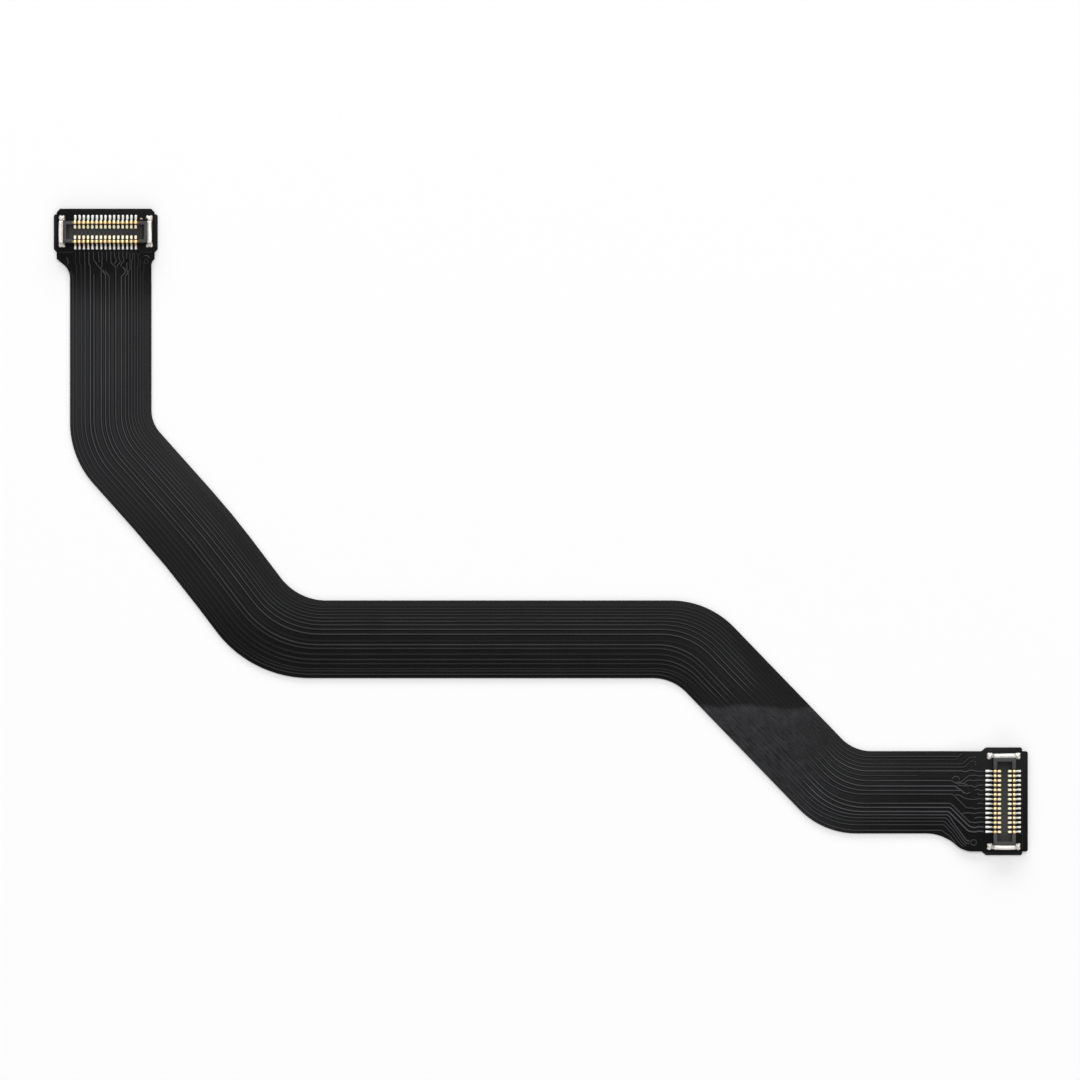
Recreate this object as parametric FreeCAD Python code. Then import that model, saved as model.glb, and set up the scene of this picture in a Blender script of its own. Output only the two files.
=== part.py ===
import FreeCAD, Part
import math
import os

# Flat flex cable: a black laminated film circuit, cut to a stepped S in its own plane, with a
# low board-to-board plug soldered on a stiffened head at each end. It lies flat, plugs up.
# Millimetres. X runs along the cable to the right, Y to the far side, Z up from the table.

Vec = FreeCAD.Vector

# Film and stiffeners
film_thickness = 0.18
stiffener_thickness = 0.20
ramp_length = 4.0               # the film comes down to the table over this length

# Ribbon centreline: six straight runs, measured corner to corner. The first starts and the
# last ends on the centre line of a plug. Headings are degrees anticlockwise from +X.
left_run_length = 17.81
upper_slope_length = 11.48
lower_slope_length = 10.65
middle_run_length = 35.62
second_slope_length = 18.23
right_run_length = 14.22
left_heading = -90.0
upper_slope_heading = -48.3
lower_slope_heading = -52.9
middle_heading = 0.0
second_slope_heading = -46.0
right_heading = 0.0

# Ribbon widths
left_run_width = 6.98
slope_width = 7.18
middle_run_width = 6.66
second_slope_width = 6.83
right_run_width = 7.06

# Bend radii, cut separately on the outer (lower left) and inner (upper right) edges
outer_bend_radii = (7.9, 110.0, 10.0, 4.05, 6.85)
inner_bend_radii = (2.9, 65.0, 4.9, 7.5, 3.55)
slight_bend_radius = 20.0       # a bend wider than this is a plain corner in the copper lanes

# Copper lanes that show as relief under the cover film, from the inner to the outer edge
fine_lane_count = 8
wide_lane_count = 5
close_lane_count = 4
fine_lane_gap = 0.29
wide_lane_gap = 0.55
close_lane_gap = 0.30
inner_lane_margin = 0.43
outer_lane_margin = 0.26
fine_lane_width = 0.13
wide_lane_width = 0.22
lane_height = 0.025
lane_start_gap = 0.14           # from the tip of a contact tail to its lane

# Left head: film shoulder, stiffener, and the plug's sizes
left_head_width = 8.39
left_ribbon_offset = 0.425      # ribbon centre to the inner side of the plug centre
left_shoulder_back = 2.29
left_flare_angle = 51.5
left_outer_flare_radius = 2.3
left_inner_flare_radius = 0.86
left_film_chamfer = 0.30
left_stiffener_width = 8.90
left_stiffener_back = 1.72
left_stiffener_chamfer = 0.29
left_contact_count = 15
left_contact_pitch = 0.371
left_tail_span = 3.00
left_plug_length = 8.05
left_trough_length = 6.67
left_jog_back = 2.85            # plug centre to the middle of the lane jogs
left_spare_lane_pitch = 0.42
left_inner_spare_count = 2      # lanes that pass the contacts on the inner side

# Right head
right_head_width = 8.60
right_neck_back = 3.47
right_neck_angle = 40.4
right_neck_radius = 2.06
right_swan_radius = 3.9
right_film_chamfer = 0.12
right_stiffener_width = 9.24
right_stiffener_back = 1.95
right_stiffener_chamfer = 0.40
right_contact_count = 14
right_contact_pitch = 0.40
right_tail_span = 3.13
right_plug_length = 8.31
right_trough_length = 6.86
right_jog_back = 3.55
right_spare_lane_pitch = 0.30
right_inner_spare_count = 4
right_lane_end_back = 2.60      # where the lanes that reach no contact end
right_jog_step = 0.08           # each lane nearer the outer edge turns this much earlier
right_lane_contacts = (0, 1, 3, 4, 6, 8, 11, 12, 13)

# Both heads
film_front = 2.02               # plug centre to the front edge of the film
stiffener_front = 1.55
stiffener_front_chamfer = 0.12

# Plug housing, contacts and hold-downs
housing_width = 1.92
housing_height = 0.70
wall_thickness = 0.32
floor_thickness = 0.20
contact_width = 0.20
contact_thickness = 0.06
contact_bend = 0.07
contact_foot_gap = 0.47         # between the feet of the two rows, on the trough floor
notch_depth = 0.04              # in the top of the wall, for the crown of a contact
notch_clearance = 0.02
hold_down_span = 2.92
hold_down_width = 0.40
hold_down_thickness = 0.08
hold_down_bend = 0.09

# Solder
fillet_width = 0.26
fillet_length = 0.07
fillet_height = 0.06
blob_width = 0.57
blob_toe = 0.05
blob_height = 0.19
blob_taper = 0.11

film_top = stiffener_thickness + film_thickness
overcut = 1.0                   # how far a cutting solid runs past what it cuts
corner_share = 0.48             # of a side, the most that a rounded corner may take
least_turn = 1e-4               # radians; a smaller turn is a straight line
runs = (
    (left_run_length, left_heading, left_run_width),
    (upper_slope_length, upper_slope_heading, slope_width),
    (lower_slope_length, lower_slope_heading, slope_width),
    (middle_run_length, middle_heading, middle_run_width),
    (second_slope_length, second_slope_heading, second_slope_width),
    (right_run_length, right_heading, right_run_width),
)


class Head:
    """One end of the cable. Its own frame has X outward, Y to the left of that, Z up."""

    def __init__(self, name, outward_heading, ribbon_side, **sizes):
        self.name = name
        self.outward_heading = outward_heading
        self.ribbon_side = ribbon_side
        self.centre = Vec(0, 0, 0)
        self.__dict__.update(sizes)

    def point(self, outward, inner):
        """A point of the plan, with inner counted towards the ribbon's inner edge."""
        out = heading(self.outward_heading)
        across = left_of(out) * self.ribbon_side
        return self.centre + out * outward + across * inner

    def place(self, shape):
        turn = FreeCAD.Rotation(Vec(0, 0, 1), self.outward_heading)
        return shape.transformed(FreeCAD.Placement(self.centre, turn).toMatrix())

    def contact_places(self):
        """Places of the contacts along a row, the first on the inner side of the ribbon."""
        half = (self.contact_count - 1) / 2
        return [(half - i) * self.contact_pitch for i in range(self.contact_count)]


def heading(degrees):
    angle = math.radians(degrees)
    return Vec(math.cos(angle), math.sin(angle), 0)


def left_of(direction):
    return Vec(-direction.y, direction.x, 0)


def crossing(start_a, along_a, start_b, along_b):
    """Where the line from start_a crosses the line from start_b."""
    cross = along_a.x * along_b.y - along_a.y * along_b.x
    gap = start_b - start_a
    return start_a + along_a * ((gap.x * along_b.y - gap.y * along_b.x) / cross)


def turn_at(before, corner, after):
    """Signed turn of a path at a corner, in radians, anticlockwise positive."""
    a = corner - before
    b = after - corner
    return math.atan2(a.x * b.y - a.y * b.x, a.x * b.x + a.y * b.y)


def round_corner(before, corner, after, radius):
    """Points of a corner: itself, or the start, middle and end of its tangent arc."""
    turn = turn_at(before, corner, after)
    if radius <= 0 or abs(turn) < least_turn:
        return [corner]
    reach = radius * math.tan(abs(turn) / 2)
    room = corner_share * min((corner - before).Length, (after - corner).Length)
    if reach > room:
        radius = radius * room / reach
        reach = room
    into = (corner - before).normalize()
    out = (after - corner).normalize()
    start = corner - into * reach
    centre = start + left_of(into) * math.copysign(radius, turn)
    middle = centre + (corner - centre).normalize() * radius
    return [start, middle, corner + out * reach]


def outline_face(corners):
    """Flat face at z = 0 through (point, radius) corners; a radius of 0 is a sharp corner."""
    rounded = []
    for i, (corner, radius) in enumerate(corners):
        before = corners[i - 1][0]
        after = corners[(i + 1) % len(corners)][0]
        rounded.append(round_corner(before, corner, after, radius))
    edges = []
    for i, points in enumerate(rounded):
        if len(points) == 3:
            edges.append(Part.Arc(*points).toShape())
        follow = rounded[(i + 1) % len(rounded)][0]
        edges.append(Part.LineSegment(points[-1], follow).toShape())
    return Part.Face(Part.Wire(edges))


def prism(corners, depth):
    """Upright solid from z = 0 over an outline."""
    return outline_face(corners).extrude(Vec(0, 0, depth))


def side_prism(profile, y_start, y_end):
    """Solid from (x, z) corners, run along Y."""
    points = [Vec(x, y_start, z) for x, z in profile]
    wire = Part.makePolygon(points + points[:1])
    return Part.Face(wire).extrude(Vec(0, y_end - y_start, 0))


def box(x_span, y_span, z_span):
    size = [span[1] - span[0] for span in (x_span, y_span, z_span)]
    return Part.makeBox(*size, Vec(x_span[0], y_span[0], z_span[0]))


def centreline():
    """Corner points of the centreline, from the left plug to the right plug."""
    points = [Vec(0, 0, 0)]
    for length, angle, _ in runs:
        points.append(points[-1] + heading(angle) * length)
    return points


def bends(points, share):
    """Bend corners and radii of a line at a share of the width, 0 outer edge, 1 inner edge."""
    lines = []
    for start, (_, angle, width) in zip(points, runs):
        along = heading(angle)
        lines.append((start + left_of(along) * ((share - 0.5) * width), along))
    corners = []
    for i, (outer, inner) in enumerate(zip(outer_bend_radii, inner_bend_radii)):
        corner = crossing(*lines[i], *lines[i + 1])
        corners.append((corner, outer + (inner - outer) * share))
    return corners


def lane_layout():
    """For each lane, from the inner edge: its share of the width and its own width."""
    counts = (fine_lane_count, wide_lane_count, close_lane_count)
    gaps = (fine_lane_gap, wide_lane_gap, close_lane_gap)
    widths = (fine_lane_width, wide_lane_width, fine_lane_width)
    places = []
    travelled = 0.0
    for count, gap, width in zip(counts, gaps, widths):
        for _ in range(count):
            if places:
                travelled += gap
            places.append((travelled, width))
    usable = 1 - (inner_lane_margin + outer_lane_margin) / middle_run_width
    first = 1 - inner_lane_margin / middle_run_width
    return [(first - usable * way / travelled, width) for way, width in places]


def left_slot(lane):
    """Where a lane meets the left head: its place across and how far back it starts."""
    contacts = left.contact_places()
    spare = left_inner_spare_count
    start = left_tail_span / 2 + lane_start_gap
    if lane < spare:
        return contacts[0] + (spare - lane) * left_spare_lane_pitch, left_stiffener_back
    if lane - spare < len(contacts):
        return contacts[lane - spare], start
    past = lane - spare - len(contacts) + 1
    return contacts[-1] - past * left_spare_lane_pitch, left_stiffener_back


def right_slot(lane):
    """The same for the right head, where some lanes pass beside the contacts."""
    contacts = right.contact_places()
    spare = right_inner_spare_count
    if lane < spare:
        return contacts[0] + (spare - lane) * right_spare_lane_pitch, right_lane_end_back
    if lane - spare < len(right_lane_contacts):
        contact = min(right_lane_contacts[lane - spare], len(contacts) - 1)
        return contacts[contact], right_tail_span / 2 + lane_start_gap
    past = lane - spare - len(right_lane_contacts) + 1
    return contacts[-1] - past * right_spare_lane_pitch, right_lane_end_back


def jog(head, slot, end_back, jog_back, across):
    """Corners from a lane's end at a head to its place across the ribbon, turned 45 degrees."""
    reach = abs(slot - across) / 2
    return [head.point(-end_back, slot), head.point(reach - jog_back, slot),
            head.point(-reach - jog_back, across)]


def lane_path(points, lane, share):
    """Corners of one lane with their radii, from the left head to the right head."""
    slot, end_back = left_slot(lane)
    across = left_ribbon_offset + (share - 0.5) * left_run_width
    path = [(point, 0.0) for point in jog(left, slot, end_back, left_jog_back, across)]
    for corner, radius in bends(points, share):
        path.append((corner, radius if radius < slight_bend_radius else 0.0))
    slot, end_back = right_slot(lane)
    across = right_ribbon_offset + (share - 0.5) * right_run_width
    early = right_jog_step * max(0, lane - fine_lane_count)
    last = jog(right, slot, end_back, right_jog_back + early, across)
    return path + [(point, 0.0) for point in reversed(last)]


def band(path, width):
    """Outline of a band of even width along a path of (point, radius) corners."""
    left_side = []
    right_side = []
    half = width / 2
    for i, (point, radius) in enumerate(path):
        into = (point - path[max(i - 1, 0)][0])
        out = (path[min(i + 1, len(path) - 1)][0] - point)
        into = into.normalize() if into.Length > 0 else out.normalize()
        out = out.normalize() if out.Length > 0 else into
        turn = math.atan2(into.x * out.y - into.y * out.x, into.x * out.x + into.y * out.y)
        side = left_of((into + out).normalize()) * (half / math.cos(turn / 2))
        grow = math.copysign(half, turn) if radius > 0 else 0.0
        left_side.append((point + side, radius - grow))
        right_side.append((point - side, radius + grow))
    return left_side + right_side[::-1]


def film_outline(points):
    """Plan of the film: inner edge to the right, round the head, outer edge back."""
    half = left_head_width / 2
    slope = math.tan(math.radians(left_flare_angle))
    inner_edge = left_ribbon_offset + left_run_width / 2
    outer_edge = left_ribbon_offset - left_run_width / 2
    inner_flare = left_shoulder_back + (half - inner_edge) / slope
    outer_flare = left_shoulder_back + (half + outer_edge) / slope
    corners = [
        (left.point(film_front, half - left_film_chamfer), 0.0),
        (left.point(film_front - left_film_chamfer, half), 0.0),
        (left.point(-left_shoulder_back, half), 0.0),
        (left.point(-inner_flare, inner_edge), left_inner_flare_radius),
    ]
    corners += bends(points, 1.0)
    half_right = right_head_width / 2
    ribbon_edge = right_ribbon_offset - right_run_width / 2
    drop = half_right + ribbon_edge
    swan_back = right_neck_back + drop / math.tan(math.radians(right_neck_angle))
    corners += [
        (right.point(film_front - right_film_chamfer, half_right), 0.0),
        (right.point(film_front, half_right - right_film_chamfer), 0.0),
        (right.point(film_front, right_film_chamfer - half_right), 0.0),
        (right.point(film_front - right_film_chamfer, -half_right), 0.0),
        (right.point(-right_neck_back, -half_right), right_neck_radius),
        (right.point(-swan_back, ribbon_edge), right_swan_radius),
    ]
    corners += bends(points, 0.0)[::-1]
    corners += [
        (left.point(-outer_flare, outer_edge), left_outer_flare_radius),
        (left.point(-left_shoulder_back, -half), 0.0),
        (left.point(film_front - left_film_chamfer, -half), 0.0),
        (left.point(film_front, left_film_chamfer - half), 0.0),
    ]
    return corners


def sheet_profile(head, low, high, flat_back, tip):
    """Side profile, in the head's X and Z, of a layer that comes down behind the stiffener."""
    top = -head.stiffener_back
    foot = top - ramp_length
    rise = stiffener_thickness
    return [
        (flat_back, low), (foot, low), (top, low + rise), (tip, low + rise),
        (tip, high + rise), (top, high + rise), (foot, high), (flat_back, high),
    ]


def sheet(low, high, plan):
    """The height range that a layer takes over the whole cable, flat but for both ramps."""
    split = (plan.XMin + plan.XMax) / 2
    tip = film_front + overcut
    profile = sheet_profile(left, low, high, plan.YMin - overcut - left.centre.y, tip)
    near = left.centre.x - split
    left_half = side_prism(profile, near, left.centre.x - plan.XMin + overcut)
    profile = sheet_profile(right, low, high, split - right.centre.x, tip)
    near = plan.YMin - overcut - right.centre.y
    right_half = side_prism(profile, near, plan.YMax + overcut - right.centre.y)
    return left.place(left_half).fuse(right.place(right_half)).removeSplitter()


def flex_circuit(points):
    """The laminated film: one sheet cut to its outline, with the copper lanes in relief."""
    outline = film_outline(points)
    plan = outline_face(outline).BoundBox
    tall = film_top + overcut
    film = prism(outline, tall).common(sheet(0.0, film_thickness, plan))
    cover = sheet(film_thickness / 2, film_thickness + lane_height, plan)
    lanes = []
    for lane, (share, width) in enumerate(lane_layout()):
        lanes.append(prism(band(lane_path(points, lane, share), width), tall))
    for contact, place in enumerate(right.contact_places()):
        if contact not in right_lane_contacts:
            start = right_tail_span / 2 + lane_start_gap
            stub = [(right.point(-start, place), 0.0),
                    (right.point(-right_lane_end_back, place), 0.0)]
            lanes.append(prism(band(stub, fine_lane_width), tall))
    relief = [lane.common(cover) for lane in lanes]
    return film.fuse(relief).removeSplitter()


def stiffener(head):
    """Plate bonded under a head, wider than the film, set back from its front edge."""
    half = head.stiffener_width / 2
    rear = head.head_width / 2
    front = half - stiffener_front_chamfer
    side_start = stiffener_front - stiffener_front_chamfer
    side_end = head.stiffener_chamfer - head.stiffener_back
    side = [(stiffener_front, front), (side_start, half), (side_end, half),
            (-head.stiffener_back, rear)]
    corners = [(Vec(x, y, 0), 0.0) for x, y in side]
    corners += [(Vec(x, -y, 0), 0.0) for x, y in reversed(side)]
    return prism(corners, stiffener_thickness)


def both_rows(profile):
    """A profile and its mirror image, for the front and the rear row."""
    return profile, [(-x, z) for x, z in profile]


def housing(head):
    """Moulded trough: long walls notched for the contacts, floor, and end blocks for the straps."""
    half_width = housing_width / 2
    half_length = head.plug_length / 2
    top = film_top + housing_height
    body = box((-half_width, half_width), (-half_length, half_length), (film_top, top))
    trough_half = half_width - wall_thickness
    trough_end = head.trough_length / 2
    cuts = [box((-trough_half, trough_half), (-trough_end, trough_end),
                (film_top + floor_thickness, top))]
    notch_half = contact_width / 2 + notch_clearance
    for place in head.contact_places():
        cuts.append(box((-half_width, half_width), (place - notch_half, place + notch_half),
                        (top - notch_depth, top)))
    seat_start = half_length - hold_down_width
    core = half_width - hold_down_thickness
    seat_top = top - hold_down_thickness
    for side in (-1, 1):
        ends = sorted((side * seat_start, side * half_length))
        seat = box((-half_width, half_width), ends, (film_top, top))
        cuts.append(seat.cut(box((-core, core), ends, (film_top, seat_top))))
    return body.cut(cuts)


def contact_profile(head):
    """Side view of a front contact: tail, riser, crown over the wall, and foot in the trough."""
    thick = contact_thickness
    tip = head.tail_span / 2
    outer = housing_width / 2
    inner = outer - wall_thickness
    crown = film_top + housing_height - notch_depth
    floor = film_top + floor_thickness
    foot = contact_foot_gap / 2
    return [
        (tip, film_top), (tip, film_top + thick),
        (outer + thick, film_top + thick), (outer + thick, crown + thick - contact_bend),
        (outer + thick - contact_bend, crown + thick),
        (inner - thick + contact_bend, crown + thick),
        (inner - thick, crown + thick - contact_bend), (inner - thick, floor + thick),
        (foot, floor + thick), (foot, floor),
        (inner, floor), (inner, crown), (outer, crown), (outer, film_top),
    ]


def contact_row(head, row):
    """All contacts of a row, row 0 at the front and row 1 on the ribbon side."""
    profile = both_rows(contact_profile(head))[row]
    half = contact_width / 2
    return [side_prism(profile, place - half, place + half) for place in head.contact_places()]


def solder_row(head, row):
    """Toe fillets of solder, one at the tip of each tail."""
    tip = head.tail_span / 2
    toe = [(tip, film_top), (tip + fillet_length, film_top), (tip, film_top + fillet_height)]
    profile = both_rows(toe)[row]
    half = fillet_width / 2
    return [side_prism(profile, place - half, place + half) for place in head.contact_places()]


def hold_down(head, side):
    """Metal strap over an end block, with a foot on the film at each end."""
    foot = hold_down_span / 2
    outer = housing_width / 2
    thick = hold_down_thickness
    inner = outer - thick
    top = film_top + housing_height
    half = [
        (inner, film_top), (foot, film_top), (foot, film_top + thick), (outer, film_top + thick),
        (outer, top - hold_down_bend), (outer - hold_down_bend, top),
    ]
    mirrored = [(-x, z) for x, z in reversed(half)]
    under = [(-inner, top - thick), (inner, top - thick)]
    end = side * head.plug_length / 2
    start = end - side * hold_down_width
    return side_prism(half + mirrored + under, start, end)


def hold_down_solder(head, side, strap):
    """Two blobs of solder that hold the feet of a strap, each against the housing wall."""
    inner = housing_width / 2
    length = hold_down_span / 2 + blob_toe - inner
    half_x = length / 2
    half_y = blob_width / 2
    top_x = half_x - blob_taper
    top_y = half_y - blob_taper
    blobs = []
    for direction in (-1, 1):
        blob = Part.makeWedge(-half_x, 0, -half_y, -top_y, -top_x,
                              half_x, blob_height, half_y, top_y, top_x)
        blob.rotate(Vec(0, 0, 0), Vec(1, 0, 0), 90)
        middle_y = side * (head.plug_length / 2 - half_y)
        blob.translate(Vec(direction * (inner + half_x), middle_y, film_top))
        blobs.append(blob.cut(strap))
    return blobs


def export(name, solids):
    shape = Part.makeCompound(solids) if isinstance(solids, list) else solids
    shape.exportStep("parts/" + name + ".step")


def build_head(head, side_names):
    """All pieces of one head, in their places."""
    export(head.name + "_stiffener", head.place(stiffener(head)))
    export(head.name + "_housing", head.place(housing(head)))
    for row, row_name in enumerate(("front", "rear")):
        contacts = [head.place(contact) for contact in contact_row(head, row)]
        fillets = [head.place(fillet) for fillet in solder_row(head, row)]
        export(head.name + "_" + row_name + "_contacts", contacts)
        export(head.name + "_" + row_name + "_solder", fillets)
    for side, side_name in zip((1, -1), side_names):
        strap = hold_down(head, side)
        blobs = hold_down_solder(head, side, strap)
        base = head.name + "_" + side_name + "_hold_down"
        export(base, head.place(strap))
        export(base + "_solder", [head.place(b) for b in blobs])


right_ribbon_offset = (right_head_width - right_run_width) / 2
left = Head(
    "left", 90.0, -1,
    head_width=left_head_width, stiffener_width=left_stiffener_width,
    stiffener_back=left_stiffener_back, stiffener_chamfer=left_stiffener_chamfer,
    contact_count=left_contact_count, contact_pitch=left_contact_pitch,
    tail_span=left_tail_span, plug_length=left_plug_length,
    trough_length=left_trough_length,
)
right = Head(
    "right", 0.0, 1,
    head_width=right_head_width, stiffener_width=right_stiffener_width,
    stiffener_back=right_stiffener_back, stiffener_chamfer=right_stiffener_chamfer,
    contact_count=right_contact_count, contact_pitch=right_contact_pitch,
    tail_span=right_tail_span, plug_length=right_plug_length,
    trough_length=right_trough_length,
)


def settle():
    """Centre the whole plan on the origin, and set both plugs on the ribbon's ends."""
    points = centreline()
    left.centre = Vec(0, 0, 0) - left.point(0, left_ribbon_offset)
    right.centre = points[-1] - (right.point(0, right_ribbon_offset) - right.centre)
    corners = [point for point, _ in film_outline(points)]
    for head in (left, right):
        half = head.stiffener_width / 2
        corners += [head.point(stiffener_front, half), head.point(stiffener_front, -half)]
    xs = [point.x for point in corners]
    ys = [point.y for point in corners]
    middle = Vec((min(xs) + max(xs)) / 2, (min(ys) + max(ys)) / 2, 0)
    left.centre = left.centre - middle
    right.centre = right.centre - middle
    return [point - middle for point in points]


def main():
    os.makedirs("parts", exist_ok=True)
    points = settle()
    export("flex_circuit", flex_circuit(points))
    build_head(left, ("west", "east"))
    build_head(right, ("north", "south"))


main()
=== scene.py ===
"""Looks for a flat flex cable: a black laminated film with a small plug at each end."""

import math
import random

import bmesh
import bpy
from bpy.props import FloatProperty, FloatVectorProperty, PointerProperty
from mathutils import Matrix, Vector


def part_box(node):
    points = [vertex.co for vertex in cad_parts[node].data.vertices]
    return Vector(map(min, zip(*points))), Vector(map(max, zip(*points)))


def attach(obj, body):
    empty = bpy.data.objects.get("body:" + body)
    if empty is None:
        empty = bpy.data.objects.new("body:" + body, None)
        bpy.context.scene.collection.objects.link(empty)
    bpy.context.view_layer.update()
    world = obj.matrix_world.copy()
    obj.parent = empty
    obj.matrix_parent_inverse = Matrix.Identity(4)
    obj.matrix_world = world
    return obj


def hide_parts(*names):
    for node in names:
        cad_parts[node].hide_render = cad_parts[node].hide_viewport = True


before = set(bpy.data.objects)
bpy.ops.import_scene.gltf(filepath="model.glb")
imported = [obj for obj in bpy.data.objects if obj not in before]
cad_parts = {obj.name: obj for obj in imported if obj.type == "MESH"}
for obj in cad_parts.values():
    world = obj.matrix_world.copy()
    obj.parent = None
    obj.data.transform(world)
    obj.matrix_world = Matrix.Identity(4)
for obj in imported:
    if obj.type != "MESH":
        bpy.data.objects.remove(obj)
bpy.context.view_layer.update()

bl_info = {
    "name": "Flat flex cable",
    "version": (1, 0, 0),
    "blender": (4, 5, 0),
    "location": "View3D > Sidebar > Flex cable",
    "description": "Builds the visible pieces of a flat flex cable around its packed frame",
    "category": "Object",
}

MM = 0.001
UP = Vector((0, 0, 1))
WHOLE_TURN = 6.28

# Ribbon route, millimetres: length, heading in degrees and width of each straight run
RUNS = (
    (17.81, -90.0, 6.98),
    (11.48, -48.3, 7.18),
    (10.65, -52.9, 7.18),
    (35.62, 0.0, 6.66),
    (18.23, -46.0, 6.83),
    (14.22, 0.0, 7.06),
)
OUTER_BEND_RADII = (7.9, 110.0, 10.0, 4.05, 6.85)
INNER_BEND_RADII = (2.9, 65.0, 4.9, 7.5, 3.55)

# Copper lanes under the cover film. Place from the inner edge and how strongly the lane
# shows, each in the left strip, the middle run and the right run, then the width, millimetres
LANES = (
    ((0.73, 0.424, 0.455), (0.35, 0.55, 0.9), 0.24),
    ((0.95, 0.714, 0.765), (0.35, 0.5, 0.6), 0.24),
    ((1.2, 0.964, 1.095), (0.5, 0.55, 0.9), 0.24),
    ((1.43, 1.224, 1.365), (0.5, 0.65, 1.0), 0.24),
    ((1.69, 1.504, 1.695), (0.75, 0.85, 1.8), 0.25),
    ((1.96, 1.784, 2.105), (0.7, 0.9, 0.7), 0.26),
    ((2.24, 2.094, 2.53), (0.95, 0.95, 1.3), 0.27),
    ((2.575, 2.474, 2.99), (1.15, 1.00, 1.6), 0.3),
    ((3.05, 2.894, 3.375), (0.75, 1.15, 1.1), 0.32),
    ((3.62, 3.48, 3.685), (0.9, 0.2, 1.0), 0.28),
    ((3.93, 3.8, 4.475), (1.05, 1.1, 1.1), 0.3),
    ((4.3, 4.12, 4.825), (0.95, 0.6, 1.6), 0.3),
    ((4.93, 4.62, 5.18), (0.7, 0.85, 1.6), 0.32),
    ((5.23, 5.08, 5.455), (1.1, 1.05, 1.1), 0.3),
    ((5.69, 5.43, 5.725), (0.9, 0.55, 0.9), 0.25),
    ((6.01, 5.86, 6.015), (0.5, 0.45, 0.8), 0.22),
    ((6.41, 6.06, 6.315), (0.3, 0.45, 0.8), 0.22),
    ((6.72, 6.33, 6.795), (0.6, 0.7, 1.0), 0.22),
)
LEFT_RUN, MIDDLE_RUN, RIGHT_RUN = 0, 3, 5
SECOND_SLOPE_RUN = 4
MIDDLE_LANE = 8

# Side view of the lane relief: share of the half width, share of the height
LANE_PROFILE = (
    (-1.0, -0.25), (-0.8, 0.03), (-0.55, 0.4), (-0.3, 0.85), (0.0, 1.0),
    (0.3, 0.85), (0.55, 0.4), (0.8, 0.03), (1.0, -0.25),
)


class Head:
    """One end of the cable. Its own X runs outward, Y to the inner edge of the ribbon."""

    def __init__(self, name, outward, inner, ends, **sizes):
        self.name = name
        self.outward = Vector(outward)
        self.inner = Vector(inner)
        self.ends = ends
        low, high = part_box(name + "_housing")
        self.centre = (low + high) / 2
        self.centre.z = 0.0
        self.film_top = low.z
        self.plug_top = high.z
        self.__dict__.update(sizes)

    def point(self, out, inner):
        """A point of the plan, in metres, from millimetres in the head's own frame."""
        return self.centre + self.outward * (out * MM) + self.inner * (inner * MM)

    def corners(self, *rows):
        """Corners with radii, in metres, from rows of (outward, inner, radius) millimetres."""
        return [(self.point(out, inner), radius * MM) for out, inner, radius in rows]

    def matrix(self):
        """Turns the head's own millimetres into metres of the frame, film top at zero."""
        rows = [
            (self.outward[i] * MM, self.inner[i] * MM, MM * UP[i],
             self.centre[i] + self.film_top * UP[i])
            for i in range(3)
        ]
        return Matrix((*rows, (0, 0, 0, 1)))

    def contact_places(self):
        half = (self.contact_count - 1) / 2
        return [(half - i) * self.contact_pitch for i in range(self.contact_count)]


FILM_FRONT, FILM_TIP = 2.02, 0.06
RAMP_LENGTH = 4.0

# Left head: shoulder and flares of the film
LEFT_SHOULDER_BACK = 2.29
LEFT_FLARE_SLOPE = math.tan(math.radians(51.5))
LEFT_FLARE_RADII = (0.86, 2.3)
LEFT_CHAMFER = 0.3
# How each lane comes off the left head, as (outward, inner) millimetres
LEFT_ENTRIES = (
    ((-2.55, 3.27), (-3.4, 3.27)),
    ((-2.3, 3.00),),
    ((-1.74, 2.78), (-2.9, 2.78)),
    ((-1.74, 2.52),),
    ((-1.74, 2.32), (-2.3, 2.32)),
    ((-1.74, 2.08), (-3.2, 2.08)),
    ((-2.55, 1.8), (-3.2, 1.82), (-3.5, 1.92)),
    ((-2.95, 1.42), (-3.2, 1.66), (-3.42, 1.7)),
    ((-1.64, 0.44), (-2.6, 0.44)),
    ((-3.25, -0.05), (-3.45, 0.02)),
    ((-3.2, -0.25), (-3.42, -0.2)),
    ((-1.64, -0.3), (-2.95, -0.32)),
    ((-3.6, -0.95),),
    ((-1.64, -1.43), (-2.75, -1.43)),
    ((-1.64, -1.81), (-2.6, -1.81)),
    ((-1.64, -2.22), (-2.7, -2.22)),
    ((-1.64, -2.6), (-2.75, -2.6)),
    ((-3.3, -3.02), (-3.55, -2.98)),
)

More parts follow.
